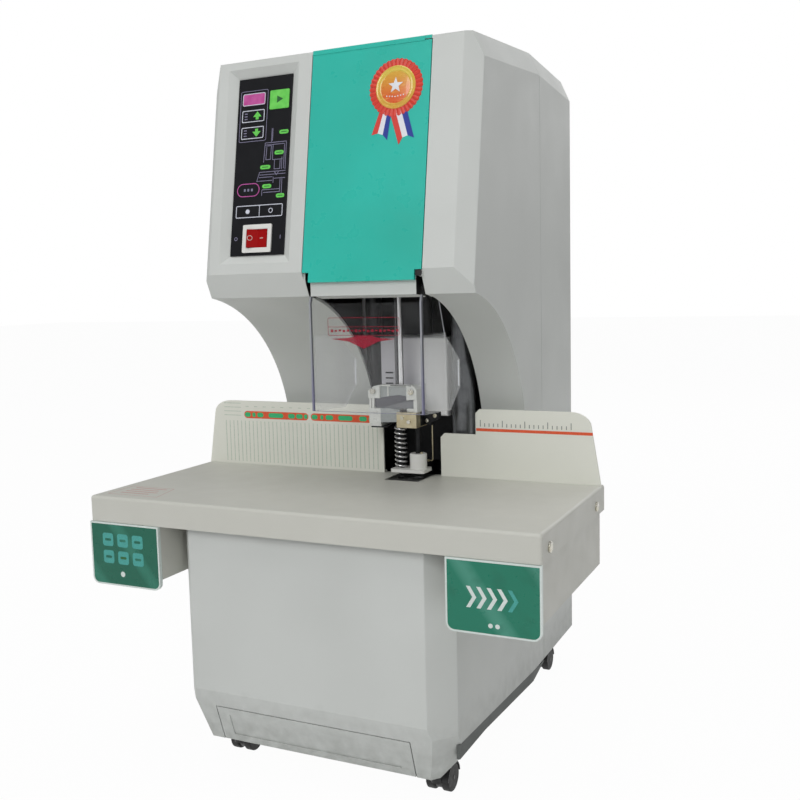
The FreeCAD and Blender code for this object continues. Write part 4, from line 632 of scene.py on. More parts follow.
class Palette(Enum):
    """Every finish on the machine."""

    # Spark-eroded ABS: an even, dull grey that never mirrors. The skirts are painted shade: the shell's grey
    # made dark where the sides turn in underneath.
    SHELL = SparkedABS("grey_ABS_spark_grain", "#cfd2cf", 0.5)
    SHADE_SKIRT = SparkedABS("painted_shade_skirt_ABS", "#606462", 0.6, dust_and_shade="#565957")
    # Powder-coated sheet: satin with a faint peel. The fences take the same coat made paler, as painted light
    # against the head's shade over them.
    TABLE = PowderCoat("grey_powder_coat", "#cacac2", 0.46, scuff="#d0d0c9")
    FENCE = PowderCoat("painted_light_powder_coat", "#e3e4da", 0.48, scuff="#eaebe2")
    TRAY = PowderCoat("drawer_powder_coat", "#a9a99c", 0.5, scuff="#bab9ab")
    # Gloss ABS: a saturated teal with a soft window of light.
    DOOR = GlossABS("teal_gloss_ABS", "#2ec0af", 0.3, coat=0.2, shine=0.4)
    # Velvet film: a black that swallows reflections.
    FASCIA = FasciaFilm("black_fascia_film", "#0d0e13", 0.42)
    # Screen inks: flat, crisp colour with no shine of its own.
    INK_WHITE = ScreenInk("white_ink", "#c9ccd8", 0.45)
    INK_VIOLET = ScreenInk("violet_ink", "#7d7a94", 0.45)
    INK_GREEN = ScreenInk("green_ink", "#62c850", 0.45)
    INK_DARK = ScreenInk("dark_green_ink", "#1f5c2a", 0.45)
    INK_PINK = ScreenInk("pink_ink", "#b9529c", 0.45)
    INK_RED = ScreenInk("red_ink", "#a00f30", 0.42, cover=0.66)
    INK_ORANGE = ScreenInk("orange_ink", "#d8532b", 0.42)
    INK_JADE = ScreenInk("jade_ink", "#2fb071", 0.42)
    INK_RULE = ScreenInk("rule_ink", "#b9c3b6", 0.5)
    INK_FAINT = ScreenInk("faint_red_ink", "#bd9f9a", 0.5)
    INK_BLUE = ScreenInk("blue_ink", "#3f9a92", 0.4)
    INK_GREY = ScreenInk("grey_ink", "#7c807c", 0.5)
    # Key films: domed with painted light as if lit from within, or black like the fascia.
    KEY_GREEN = DomedKey("green_key_film", "#5fca4d", 0.4)
    KEY_PINK = DomedKey("pink_key_film", "#b8408e", 0.4, crown="#cd62a8")
    KEY_BLACK = FasciaFilm("black_key_film", "#15161c", 0.36)
    # Polycarbonate and nylon: a deep dull red, and a milky white.
    ROCKER = GlossABS("red_polycarbonate", "#a30e11", 0.6, shade="#8a0b0c", coat=0.0, shine=0.08)
    WHITE = GlossABS("white_nylon", "#e6e6e2", 0.38, shade="#d8d8d2", coat=0.15)
    # Silver-grey paint: satin, with a painted highlight towards its right and painted shade at its left.
    COVER = SideLitPaint("silver_grey_paint", "#cfced4", 0.38, scuff="#d6d5da")
    # Cast acrylic: hardly seen, with hazed cheeks that carry a painted sheen, and edges of painted highlight
    # and painted shade.
    ACRYLIC = ClearAcrylic("polished_cast_acrylic", "#f7f9fb", 0.02)
    EDGE = EdgeGlow("polished_acrylic_edge", "#9fa1a8", 0.2)
    EDGE_DARK = EdgeGlow("shaded_acrylic_edge", "#44464b", 0.3, deep="#4d4d68")
    EDGE_LIT = GlossABS("lit_acrylic_edge", "#eef1f6", 0.15, shade="#d9dee8", coat=0.3)
    # Bare and blackened steel: fine lines that draw each glint out along the tool's way.
    GROUND = WorkedSteel("bright_ground_steel", "#c9c9cb", 0.2, 1.0)
    TURNED = WorkedSteel("turned_steel", "#aaaaab", 0.3, 1.0, lay=(30.0, 30.0, 1.0))
    SPRING = WorkedSteel("spring_wire", "#dcdcde", 0.24, 0.9, lay=(6.0, 6.0, 1.0), line=0.4)
    BLACKED = WorkedSteel("blackened_steel", "#1a1b1d", 0.42, 0.6, lay=(1.0, 1.0, 12.0), tarnish="#2b2b2e")
    # Column and spindle: dark bars with narrow painted highlights along them, and on the spindle painted
    # shade at its edges.
    COLUMN = StreakLitSteel("black_column", "#1b1c1f", 0.3, 0.1, lay=(1.0, 1.0, 40.0), tarnish="#26272a",
                          tracks=(("#f2f2f4", -42.4, -44.0),))
    SPINDLE = StreakLitSteel("ground_spindle", "#59595c", 0.24, 0.6, lay=(1.0, 1.0, 40.0), tarnish="#68686b",
                           tracks=(("#17171a", 20.8, 21.4), ("#f6f6f8", 22.6, 23.0),
                                   ("#101012", 25.5, 25.62)))
    # Dark band and black sheet: flat dark grounds. The band is a painted shadow across the tool casting, and
    # the sheet lines the guard's slots as painted shade.
    SHADOW_BAND = PowderCoat("painted_shadow_band", "#55555d", 0.5, scuff="#5f5f67")
    LINER = PowderCoat("black_sheet_paint", "#101011", 0.6, scuff="#1a1a1b")
    # Cast aluminium: sandy and pitted, bright where milled, dim where shaded.
    CASTING = CastMetal("sand_cast_aluminium", "#a3a8a8", 0.45, 0.25)
    MACHINED = CastMetal("machined_aluminium", "#dcdeda", 0.36, 0.15, pit="#c4c6c1")
    GREY_CAST = CastMetal("shaded_cast_aluminium", "#7a7c80", 0.45, 0.3, pit="#67696d")
    # Oiled steel, aluminium and brass: bare metals told apart by tint and lay.
    GREY_COLUMN = WorkedSteel("oiled_steel", "#6c6e70", 0.32, 0.8, lay=(1.0, 1.0, 30.0), tarnish="#505254")
    PULLEY = WorkedSteel("turned_aluminium", "#bfc1c3", 0.3, 1.0, lay=(20.0, 20.0, 1.0), tarnish="#a3a5a8")
    BRASS = WorkedSteel("machined_brass", "#c6bc9e", 0.34, 0.7, lay=(14.0, 1.0, 1.0), tarnish="#a4946b")
    # Zinc plate: a cool, broken gleam with a trace of yellow.
    ZINC = ZincPlated("zinc_plate", "#b4b6b8", 0.34, 1.0)
    SCREW = ZincPlated("screw_plating", "#c6c4ba", 0.26, 1.0)
    # Enamel, rubber and nylon: near black, from satin to dull.
    MOTOR = PowderCoat("motor_enamel", "#17181a", 0.4, scuff="#242527")
    BELT = Rubber("belt_rubber", "#121212", 0.7)
    TYRE = Rubber("wheel_rubber", "#0d0d0d", 0.6, bloom="#161616")
    NYLON = Rubber("black_nylon", "#0e0e0f", 0.42, bloom="#191919")
    # Circuit laminate: glossy green over paler tracks.
    BOARD = CircuitLaminate("circuit_laminate", "#0f5a30", 0.35)
    # Label plates: deep green print under gloss, with a white edge.
    PLATE_LEFT = PrintedPlate("green_print_left", "#16644f", 0.3, band="#3c8b76", centre=-180.0)
    PLATE_RIGHT = PrintedPlate("green_print_right", "#1f7a62", 0.3, band="#5fa391", centre=186.0)
    PLATE_EDGE = GlossABS("white_plate_edge", "#d8e2de", 0.3, shade="#c6d3ce", coat=0.3)
    # Satin ribbon: a soft sheen over a fine weave.
    PETAL = SatinRibbon("red_satin", "#d93520", 0.4)
    PETAL_DEEP = SatinRibbon("deep_red_satin", "#8e1d14", 0.45)
    TAIL_WHITE = SatinRibbon("white_satin", "#e4e6ec", 0.42)
    TAIL_RED = SatinRibbon("ribbon_red_satin", "#d5352a", 0.42)
    TAIL_BLUE = SatinRibbon("blue_satin", "#0c2f96", 0.42)
    # Metal foil: yellow to orange, with a brushed shimmer.
    GOLD_RING = FoilPrint("yellow_foil", "#dcc24a", 0.3, lower="#d9a63c")
    GOLD_DISC = FoilPrint("orange_foil", "#d9a536", 0.32)
    # Studio floor: plain and pale.
    FLOOR = Finish("pale_floor", "#e9e9e9", 0.9)


# ---------------------------------------------------------------- repeats
class RepeatKind(Enum):
    """How a piece's mesh is repeated."""

    ROW = "row"
    RING = "ring"
    COIL = "coil"
    SPOTS = "spots"


class RepeatTree:
    """A Geometry Nodes tree that repeats the mesh of the object it is on."""

    def __init__(self, kind: RepeatKind) -> None:
        """Build the tree for one kind of repeat."""
        self.tree = bpy.data.node_groups.new(f"repeat_{kind.value}", "GeometryNodeTree")
        self.sockets: dict[str, str] = {}
        self.tree.interface.new_socket("Geometry", in_out="OUTPUT", socket_type="NodeSocketGeometry")
        self._input("Geometry", "NodeSocketGeometry")
        self._input("Finish", "NodeSocketMaterial")
        made = {RepeatKind.ROW: self._row, RepeatKind.RING: self._ring, RepeatKind.COIL: self._coil,
                RepeatKind.SPOTS: self._spots}[kind]()
        real = add_node(self.tree, "GeometryNodeRealizeInstances", {0: made})
        painted = add_node(self.tree, "GeometryNodeSetMaterial", {0: real.outputs[0],
                                                                 2: self._group.outputs["Finish"]})
        add_node(self.tree, "NodeGroupOutput", {0: painted.outputs[0]})

    def _input(self, name: str, kind: str) -> None:
        """Add a named input."""
        self.sockets[name] = self.tree.interface.new_socket(name, in_out="INPUT", socket_type=kind).identifier

    def _row(self) -> bpy.types.NodeSocket:
        """Copies at even steps along a line."""
        self._input("Count", "NodeSocketInt")
        self._input("Step", "NodeSocketVector")
        self._group = add_node(self.tree, "NodeGroupInput")
        line = add_node(self.tree, "GeometryNodeMeshLine", {"Count": self._group.outputs["Count"],
                                                            "Offset": self._group.outputs["Step"]},
                        mode="OFFSET")
        return add_node(self.tree, "GeometryNodeInstanceOnPoints",
                        {"Points": line.outputs[0], "Instance": self._group.outputs["Geometry"]}).outputs[0]

    def _ring(self) -> bpy.types.NodeSocket:
        """Copies round a circle, each turned to face outwards."""
        self._input("Count", "NodeSocketInt")
        self._input("Radius", "NodeSocketFloat")
        self._group = add_node(self.tree, "NodeGroupInput")
        ring = add_node(self.tree, "GeometryNodeMeshCircle", {"Vertices": self._group.outputs["Count"],
                                                              "Radius": self._group.outputs["Radius"]})
        outwards = add_node(self.tree, "GeometryNodeInputPosition")
        turn = add_node(self.tree, "FunctionNodeAlignRotationToVector", {"Vector": outwards.outputs[0]},
                        axis="X",
                        pivot_axis="Z")
        return add_node(self.tree, "GeometryNodeInstanceOnPoints",
                        {"Points": ring.outputs[0], "Instance": self._group.outputs["Geometry"],
                         "Rotation": turn.outputs[0]}).outputs[0]

    def _coil(self) -> bpy.types.NodeSocket:
        """A round wire wound along a helix."""
        for name in ("Turns", "Radius", "Height", "Wire"):
            self._input(name, "NodeSocketFloat")
        self._group = add_node(self.tree, "NodeGroupInput")
        outputs = self._group.outputs
        helix = add_node(self.tree, "GeometryNodeCurveSpiral",
                         {"Resolution": 40, "Rotations": outputs["Turns"], "Start Radius": outputs["Radius"],
                          "End Radius": outputs["Radius"], "Height": outputs["Height"]})
        section = add_node(self.tree, "GeometryNodeCurvePrimitiveCircle", {"Resolution": 10,
                                                                           "Radius": outputs["Wire"]})
        return add_node(self.tree, "GeometryNodeCurveToMesh", {"Curve": helix.outputs[0],
                                                               "Profile Curve": section.outputs[0],
                                                               "Fill Caps": True}).outputs[0]

    def _spots(self) -> bpy.types.NodeSocket:
        """Copies of another object's mesh at each vertex, each turned at random about its axis."""
        self._input("Part", "NodeSocketObject")
        self._input("Seed", "NodeSocketInt")
        self._group = add_node(self.tree, "NodeGroupInput")
        part = add_node(self.tree, "GeometryNodeObjectInfo", {0: self._group.outputs["Part"]})
        angle = add_node(self.tree, "FunctionNodeRandomValue", {2: 0.0, 3: 6.28,
                                                                "Seed": self._group.outputs["Seed"]})
        turn = add_node(self.tree, "ShaderNodeCombineXYZ", {2: angle.outputs[1]})
        return add_node(self.tree, "GeometryNodeInstanceOnPoints",
                        {"Points": self._group.outputs["Geometry"], "Instance": part.outputs["Geometry"],
                         "Rotation": turn.outputs[0]}).outputs[0]

    def bake(self, mesh: bpy.types.Mesh, finish: Finish, **values) -> bpy.types.Mesh:
        """Repeat a mesh and return the result as a plain mesh.

        Args:
            mesh: The mesh to repeat, or the points to repeat at.
            finish: Its finish.
            values: The tree's inputs by name.

        Returns:
            The finished mesh, in millimetres.
        """
        thing = add_object("repeat_source", mesh)
        modifier = thing.modifiers.new("repeat", "NODES")
        modifier.node_group = self.tree
        modifier[self.sockets["Finish"]] = finish.material()
        for name, value in values.items():
            modifier[self.sockets[name]] = value
        bpy.context.view_layer.update()
        graph = bpy.context.evaluated_depsgraph_get()
        result = bpy.data.meshes.new_from_object(thing.evaluated_get(graph))
        thing.modifiers.remove(modifier)
        bpy.data.objects.remove(thing)
        return result


_TREES: dict[RepeatKind, RepeatTree] = {}


def repeat(kind: RepeatKind) -> RepeatTree:
    """The tree of one kind of repeat, built on first use."""
    if kind not in _TREES:
        _TREES[kind] = RepeatTree(kind)
    return _TREES[kind]


# ---------------------------------------------------------------- meshes
class Seat:
    """A part's surface seen along one direction, on which marks and trims are laid."""

    def __init__(self, node: str, where: Matrix) -> None:
        """Take the surface of a CAD part in a local frame."""
        self.where = where
        back = where.inverted()
        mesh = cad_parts[node].data
        points = [back @ (v.co / MM) for v in mesh.vertices]
        self.tree = BVHTree.FromPolygons(points, [tuple(p.vertices) for p in mesh.polygons])
        self.last = 0.0

    def height(self, x: float, y: float) -> float:
        """Height of the surface at a point, or the last one found where the surface ends."""
        hit = self.tree.ray_cast(Vector((x, y, RAY_FROM)), Vector((0, 0, -1)))[0]
        if hit is not None:
            self.last = hit.z
        return self.last


class PartMesh:
    """The faces of one piece in machine millimetres, each with its finish."""

    def __init__(self) -> None:
        """Start empty."""
        self.faces = bmesh.new()
        self.finishes: list[Finish] = []

    def number(self, finish: Finish) -> int:
        """Number of a finish on this piece."""
        if finish not in self.finishes:
            self.finishes.append(finish)
        return self.finishes.index(finish)

    def skin(self, first: list, second: list) -> list:
        """Walls between two closed rings of as many vertices."""
        count = len(first)
        return [self.faces.faces.new((first[i], first[(i + 1) % count], second[(i + 1) % count], second[i]))
                for i in range(count)]

    def settle(self, made: list, slot: int) -> list:
        """Give new faces their finish and turn them outwards."""
        for face in made:
            face.material_index = slot
        bmesh.ops.recalc_face_normals(self.faces, faces=made)
        return made

    def close(self, bottom: list, top: list, where: Matrix, slot: int, hole: tuple | None = None) -> list:
        """Join two outlines by walls and cap them, round a hole if there is one."""
        loops = [[[self.faces.verts.new(where @ Vector(p)) for p in level] for level in pair]
                 for pair in ((bottom, top), hole) if pair]
        made = [face for low, high in loops for face in self.skin(low, high)]
        if hole:
            for outer, inner in zip(*loops):
                made += self.skin(outer, inner)
        else:
            made.append(self.faces.faces.new(loops[0][0][::-1]))
            made.append(self.faces.faces.new(loops[0][1]))
        return self.settle(made, slot)

    def block(self, outline: list, low: float, high: float, where: Matrix, finish: Finish,
              bevel: float = 0.0) -> None:
        """Stand an outline up between two heights, with its top edge eased by bevel."""
        bottom = [(x, y, low) for x, y in outline]
        top = [(x, y, high) for x, y in outline]
        made = self.close(bottom, top, where, self.number(finish))
        if bevel:
            edges = list(made[-1].edges)
            out = bmesh.ops.bevel(self.faces, geom=edges, offset=bevel, segments=2, profile=0.6,
                                  affect="EDGES", clamp_overlap=True)
            for face in out["faces"]:
                face.material_index = self.number(finish)

    def band(self, outer: list, inner: list, low: float, high: float, where: Matrix, finish: Finish) -> None:
        """A flat frame between two outlines of as many points."""
        self.close([(x, y, low) for x, y in outer], [(x, y, high) for x, y in outer], where,
                    self.number(finish), ([(x, y, low) for x, y in inner], [(x, y, high) for x, y in inner]))

    def mark(self, outline: list, seat: Seat, finish: Finish, lift: float = INK) -> None:
        """Lay a thin printed mark on a surface, following its slope."""
        heights = [seat.height(x, y) for x, y in outline]
        bottom = [(x, y, h - SINK) for (x, y), h in zip(outline, heights)]
        top = [(x, y, h + lift) for (x, y), h in zip(outline, heights)]
        self.close(bottom, top, seat.where, self.number(finish))

    def mark_frame(self, outline: list, width: float, seat: Seat, finish: Finish, lift: float = INK) -> None:
        """Lay a printed line of even width along a closed outline."""
        inner, outer = stroke(outline, width, closed=True)
        height = seat.height(*outline[0])
        self.band(outer, inner, height - SINK, height + lift, seat.where, finish)

    def mark_line(self, points: list, width: float, seat: Seat, finish: Finish, lift: float = INK) -> None:
        """Lay a printed line of even width along open points."""
        left, right = stroke(points, width)
        self.mark(right + left[::-1], seat, finish, lift)

    def lathe(self, profile: list, where: Matrix, finish: Finish, steps: int = 40) -> None:
        """Turn a profile of (radius, height) points round the local Z. Its ends lie on the axis."""
        rings = []
        for radius, height in profile:
            if radius < 1e-6:
                rings.append([self.faces.verts.new(where @ Vector((0, 0, height)))])
                continue
            turns = [2 * math.pi * i / steps for i in range(steps)]
            rings.append([self.faces.verts.new(where @ Vector((*on_circle(radius, turn), height)))
                          for turn in turns])
        made = []
        for first, second in zip(rings, rings[1:]):
            for i in range(steps):
                j = (i + 1) % steps
                corners = [first[i % len(first)], first[j % len(first)], second[j % len(second)],
                           second[i % len(second)]]
                corners = [c for n, c in enumerate(corners) if c not in corners[:n]]
                if len(corners) > 2:
                    made.append(self.faces.faces.new(corners))
        self.settle(made, self.number(finish))

    def rod(self, points: list, radius: float, finish: Finish, sides: int = 10) -> None:
        """A round rod through points in the machine's frame."""
        spots = [Vector(p) for p in points]
        rings = []
        for i, spot in enumerate(spots):
            before = spots[max(i - 1, 0)]
            after = spots[min(i + 1, len(spots) - 1)]
            along = (after - before).normalized()
            if not rings:
                side = along.cross(Vector((0, 0, 1)) if abs(along.z) < 0.9 else Vector((1, 0, 0)))
            side = (side - along * side.dot(along)).normalized()
            other = along.cross(side)
            rings.append([self.faces.verts.new(spot + radius * (math.cos(2 * math.pi * k / sides) * side
                                                                + math.sin(2 * math.pi * k / sides) * other))
                          for k in range(sides)])
        made = [self.faces.faces.new(rings[0][::-1]), self.faces.faces.new(rings[-1])]
        for first, second in zip(rings, rings[1:]):
            made += self.skin(first, second)
        self.settle(made, self.number(finish))

    def add(self, mesh: bpy.types.Mesh, where: Matrix, finish: Finish) -> None:
        """Take in a baked mesh, set in a local frame."""
        slot = self.number(finish)
        before = len(self.faces.faces)
        mesh.transform(where)
        self.faces.from_mesh(mesh)
        self.faces.faces.ensure_lookup_table()
        for face in self.faces.faces[before:]:
            face.material_index = slot
        bpy.data.meshes.remove(mesh)

    def plain(self, name: str) -> bpy.types.Mesh:
        """The faces as a plain mesh in millimetres."""
        mesh = bpy.data.meshes.new(name)
        self.faces.to_mesh(mesh)
        self.faces.free()
        return mesh

    def piece(self, name: str, body: str, slot: str, smooth: float = 35.0) -> bpy.types.Object:
        """Make the piece's object.

        Args:
            name: The piece's name.
            body: The body that it moves with.
            slot: The record's material slot; not used.
            smooth: Edges flatter than this many degrees are shaded smooth.

        Returns:
            The object, at the origin.
        """
        mesh = self.plain(name)
        mesh.transform(Matrix.Scale(MM, 4))
        for finish in self.finishes:
            mesh.materials.append(finish.material())
        mesh.shade_smooth()
        mesh.set_sharp_from_angle(angle=math.radians(smooth))
        made = add_object(name, mesh)
        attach(made, body)
        LOG.info("%s: %d faces on %s", name, len(mesh.polygons), body)
        return made


def dress(finish: Palette, *nodes: str) -> None:
    """Give CAD parts their finish."""
    for node in nodes:
        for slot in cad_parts[node].material_slots:
            slot.material = finish.value.material()
        LOG.info("%s: %s", node, finish.value.name)


def cross_screw(radius: float, height: float) -> bpy.types.Mesh:
    """A pan-head screw with a cross recess, standing on the local Z."""
    part = PartMesh()
    dome = [(radius, -SINK), (radius, height * 0.45), (radius * 0.86, height * 0.82), (radius * 0.5, height)]
    sides = 16
    low = height * 0.45
    turns = [2 * math.pi * i / sides for i in range(sides)]
    ring = [[part.faces.verts.new(Vector((*on_circle(r, turn), z))) for turn in turns] for r, z in dome]
    floor = []
    for i, turn in enumerate(turns):
        arm = i % 4 == 0
        spot = on_circle(radius * (0.5 if arm else 0.14), turn)
        floor.append(part.faces.verts.new(Vector((*spot, height - (0.04 if arm else 0.0)))))
    ring.append(floor)
    centre = part.faces.verts.new(Vector((0, 0, low)))
    for first, second in zip(ring, ring[1:]):
        part.skin(first, second)
    for i in range(sides):
        part.faces.faces.new((floor[i], floor[(i + 1) % sides], centre))
    part.faces.faces.new(ring[0][::-1])
    bmesh.ops.recalc_face_normals(part.faces, faces=part.faces.faces[:])
    return part.plain("cross_screw")


def screws_at(spots: list, where: Matrix, radius: float, height: float, finish: Finish,
              seed: int) -> PartMesh:
    """Screws at local (x, y, z) spots, each turned at random.

    Args:
        spots: Where their heads sit.
        where: The local frame, whose Z they stand on.
        radius: Radius of a head.
        height: Height of a head.
        finish: Their finish.
        seed: Number that fixes their turns.

    Returns:
        The screws as one part.
    """
    cloud = bpy.data.meshes.new("screw_spots")
    cloud.from_pydata([tuple(s) for s in spots], [], [])
    head = add_object("screw_head", cross_screw(radius, height))
    baked = repeat(RepeatKind.SPOTS).bake(cloud, finish, Part=head, Seed=seed)
    bpy.data.objects.remove(head)
    part = PartMesh()
    part.add(baked, where, finish)
    return part


# ---------------------------------------------------------------- sub-assemblies
@dataclass
class Cabinet:
    """The moulded shells, the frame inside them and the screws of the back."""

    screw_radius: float = 3.6
    screw_height: float = 1.4
    screw_sunk: float = 0.2
    screw_x: float = 122.0
    screw_z: tuple = (60.0, 200.0, 340.0, 480.0, 620.0)
    skirt_outline: tuple = ((-160.6, 62.6), (84.0, 48.0), (44.7, 39.7), (-98.0, 49.4), (-160.6, 49.8))
    skirt_in: float = 133.0         # inner and outer faces of a skirt
    skirt_out: float = 136.15
    left_from: float = -120.0       # front end of the left skirt

    def dress(self) -> None:
        """Finish the shells and the frame."""
        dress(Palette.SHELL, "base_front_shell", "rear_shell", "tower_front_shell", "waste_drawer")
        dress(Palette.ZINC, "base_plate", "frame_side_plates", "chip_chute", "power_supply", "caster_mounts")
        dress(Palette.BLACKED, "bed_plate", "head_plate")
        dress(Palette.LINER, "back_liner")

    def rear_screws(self) -> None:
        """Two rows of cross-recessed screws that hold the rear shell."""
        seat = Seat("rear_shell", BEHIND)
        spots = [(x, z, seat.height(x, z) - self.screw_sunk)
                 for x in (-self.screw_x, self.screw_x) for z in self.screw_z]
        finish = Palette.SCREW.value
        screws_at(spots, BEHIND, self.screw_radius, self.screw_height, finish, 11).piece(
            "rear_shell_screws", "cabinet", "plated_screw")

    def skirts(self) -> None:
        """A dark tapered skirt along the foot of each side, between the front corner and the seam, painted
        dark as the shade where the side turns in underneath.
        """
        part = PartMesh()
        left = [(-max(y, self.left_from), z) for y, z in self.skirt_outline]
        for outline, where in ((self.skirt_outline, RIGHT_SIDE), (left, LEFT_SIDE)):
            part.block(outline, self.skirt_in, self.skirt_out, where, Palette.SHADE_SKIRT.value)
        part.piece("side_skirts", "cabinet", "moulded_shell")

    def build(self) -> None:
        """Dress the cabinet and add its skirts and screws."""
        self.dress()
        self.skirts()
        self.rear_screws()


@dataclass
class ControlPanel:
    """The fascia with its prints, the four keys and the mains switch."""

    line: float = 0.75              # width of the printed frames
    zero: float = -2.4              # zero of the prints across the leaning face
    switch_zero: float = -3.3       # zero of the marks on the rocker

    def __post_init__(self) -> None:
        """Take the fascia's surface and the zero line of its prints."""
        self.at = LEANING @ Matrix.Translation(Vector((self.zero, 0, 0)))
        self.seat = Seat("control_panel", self.at)

    def dress(self) -> None:
        """Finish the panel, the keys and the switch."""
        dress(Palette.FASCIA, "control_panel")
        dress(Palette.KEY_GREEN, "start_key")
        dress(Palette.KEY_PINK, "reset_key")
        dress(Palette.KEY_BLACK, "up_key", "down_key")
        dress(Palette.WHITE, "switch_bezel")
        dress(Palette.ROCKER, "power_rocker")
        dress(Palette.BOARD, "control_board")

    def frames(self) -> None:
        """Printed frames round the keys and in the lower half."""
        part = PartMesh()
        white = Palette.INK_WHITE.value
        violet = Palette.INK_VIOLET.value
        part.mark_frame(rounded(-105.6, -75.6, 127.2, 175.8, 1.6), 0.5, self.seat, violet)
        cells = (-104.2, -53.4, 54.6, 65.6)
        part.mark_frame(rounded(*cells, 1.0), self.line, self.seat, white)
        part.mark_line([(-78.4, 54.9), (-78.4, 65.3)], 0.6, self.seat, white)
        part.mark_frame(rounded(-104.2, -79.9, 74.7, 86.6, 5.9), self.line, self.seat, Palette.INK_PINK.value)
        for x in (-96.0, -92.0, -88.0):
            part.mark(rounded(x - 1.0, x + 1.0, 79.4, 81.9, 0.3), self.seat, violet)
        part.mark(disc(-91.5, 60.1, 2.2), self.seat, white)
        part.mark_frame(disc(-66.0, 60.1, 2.0), 0.7, self.seat, white)
        part.mark_frame(disc(-103.0, 34.5, 1.5), 0.6, self.seat, violet)
        part.mark_line([(-54.0, 33.0), (-54.0, 36.6)], 0.7, self.seat, violet)
        part.piece("panel_frames", "cabinet", "black_fascia")

    def mimic(self) -> None:
        """Line drawing of a press with five marked places, at the panel's right."""
        part = PartMesh()
        ink = Palette.INK_VIOLET.value
        thin = 0.55
        lines = [[(-69.0, 138.0), (-69.0, 125.0)], [(-68.0, 138.0), (-68.0, 126.0)],
                 [(-75.8, 124.4), (-52.4, 124.4)], [(-75.8, 122.4), (-54.6, 122.4)],
                 [(-75.8, 124.4), (-76.6, 106.0)],
                 [(-73.8, 121.4), (-74.2, 108.4), (-69.2, 108.4), (-68.8, 121.4),
                                                    (-73.0, 121.4)],
                 [(-52.6, 124.0), (-52.6, 98.0)], [(-54.4, 122.0), (-54.4, 99.0)],
                 [(-67.0, 122.0), (-67.0, 108.0), (-56.0, 108.0)],
                 [(-64.6, 107.4), (-64.6, 99.0), (-58.4, 99.0),
                                                                    (-58.4, 107.4)],
                 [(-56.6, 110.0), (-56.6, 98.4)], [(-80.4, 96.8), (-52.0, 96.8)],
                 [(-80.4, 94.2), (-52.0, 94.2)],
                 [(-80.4, 96.8), (-83.2, 88.0)], [(-80.8, 91.8), (-66.0, 91.8)],
                 [(-83.2, 88.4), (-66.4, 88.4)],
                 [(-64.0, 96.4), (-61.8, 93.4), (-59.6, 96.4)], [(-64.2, 90.2), (-52.0, 90.2)],
                 [(-65.0, 91.6), (-65.0, 86.0)], [(-76.6, 80.0), (-57.6, 80.0)],
                 [(-75.2, 77.4), (-57.6, 77.4)],
                 [(-76.8, 79.8), (-76.8, 74.4)], [(-57.4, 89.6), (-57.4, 77.0)],
                 [(-55.4, 89.6), (-55.4, 75.6)]]
        for points in lines:
            part.mark_line(points, thin, self.seat, ink)
        for x, s, half in ((-55.8, 133.6, 5.0), (-60.0, 114.4, 5.0), (-74.4, 101.4, 5.6), (-71.6, 83.2, 5.0),
                           (-56.4, 73.6, 4.6)):
            part.mark(rounded(x - half, x + half, s - 1.9, s + 1.9, 1.9), self.seat, Palette.INK_GREEN.value,
                      0.2)
            part.mark(rounded(x - half * 0.6, x + half * 0.6, s - 0.35, s + 0.35, 0.3), self.seat,
                      Palette.INK_DARK.value, 0.28)
        part.piece("panel_diagram", "cabinet", "black_fascia")

    def key_prints(self) -> None:
        """Outlines and arrows on the keys."""
        white = Palette.INK_WHITE.value
        green = Palette.INK_GREEN.value
        for name, low in (("up_key", 145.4), ("down_key", 129.3)):
            seat = Seat(name, self.at)
            part = PartMesh()
            part.mark_frame(rounded(-102.7, -78.5, low + 0.6, low + 11.3, 1.0), self.line, seat, white)
            way = 1.0 if name == "up_key" else -1.0
            middle = low + 5.95
            part.mark([(-90.6, middle - 1.0 * way), (-81.4, middle - 1.0 * way),
                       (-86.0, middle + 4.0 * way)][::int(way)],
                      seat, green, 0.2)
            part.mark(rounded(-87.6, -84.4, min(middle - 3.6 * way, middle - 0.9 * way),
                              max(middle - 3.6 * way, middle - 0.9 * way), 0.2), seat, green, 0.2)
            for row in (-2.6, 0.0, 2.6):
                part.mark(rounded(-100.2, -97.0, middle + row - 0.45, middle + row + 0.45, 0.3), seat,
                          Palette.INK_VIOLET.value)
            part.piece(f"{name}_print", name, "green_key")
        seat = Seat("reset_key", self.at)
        part = PartMesh()
        part.mark_frame(rounded(-102.8, -78.4, 162.0, 172.9, 1.6), 0.7, seat, white)
        circle = [on_circle(2.9, math.radians(a), -90.6, 167.4) for a in range(60, 345, 15)]
        part.mark_line(circle, 0.8, seat, Palette.INK_PINK.value)
        part.piece("reset_key_print", "reset_key", "pink_key")
        seat = Seat("start_key", self.at)
        part = PartMesh()
        part.mark([(-65.0, 161.6), (-58.4, 165.0), (-65.0, 168.4)], seat, Palette.INK_DARK.value)
        part.piece("start_key_print", "start_key", "green_key")

    def switch_marks(self) -> None:
        """The ring and bar of off and on, moulded on the rocker."""
        seat = Seat("power_rocker", LEANING @ Matrix.Translation(Vector((self.switch_zero, 0, 0))))
        part = PartMesh()
        pale = Palette.INK_FAINT.value
        ring = disc(-84.6, 34.3, 1.9, 24)
        outer = [(-84.6 + (x + 84.6) * 1.3, 34.3 + (y - 34.3) * 1.3) for x, y in ring]
        for i in range(24):
            j = (i + 1) % 24
            part.mark([outer[i], outer[j], ring[j], ring[i]], seat, pale, 0.25)
        part.mark(rounded(-75.0, -71.4, 33.8, 34.8, 0.3), seat, pale, 0.25)
        part.piece("rocker_marks", "power_rocker", "red_plastic")

    def build(self) -> None:
        """Dress the panel and print it."""
        self.dress()
        self.frames()
        self.mimic()
        self.key_prints()
        self.switch_marks()


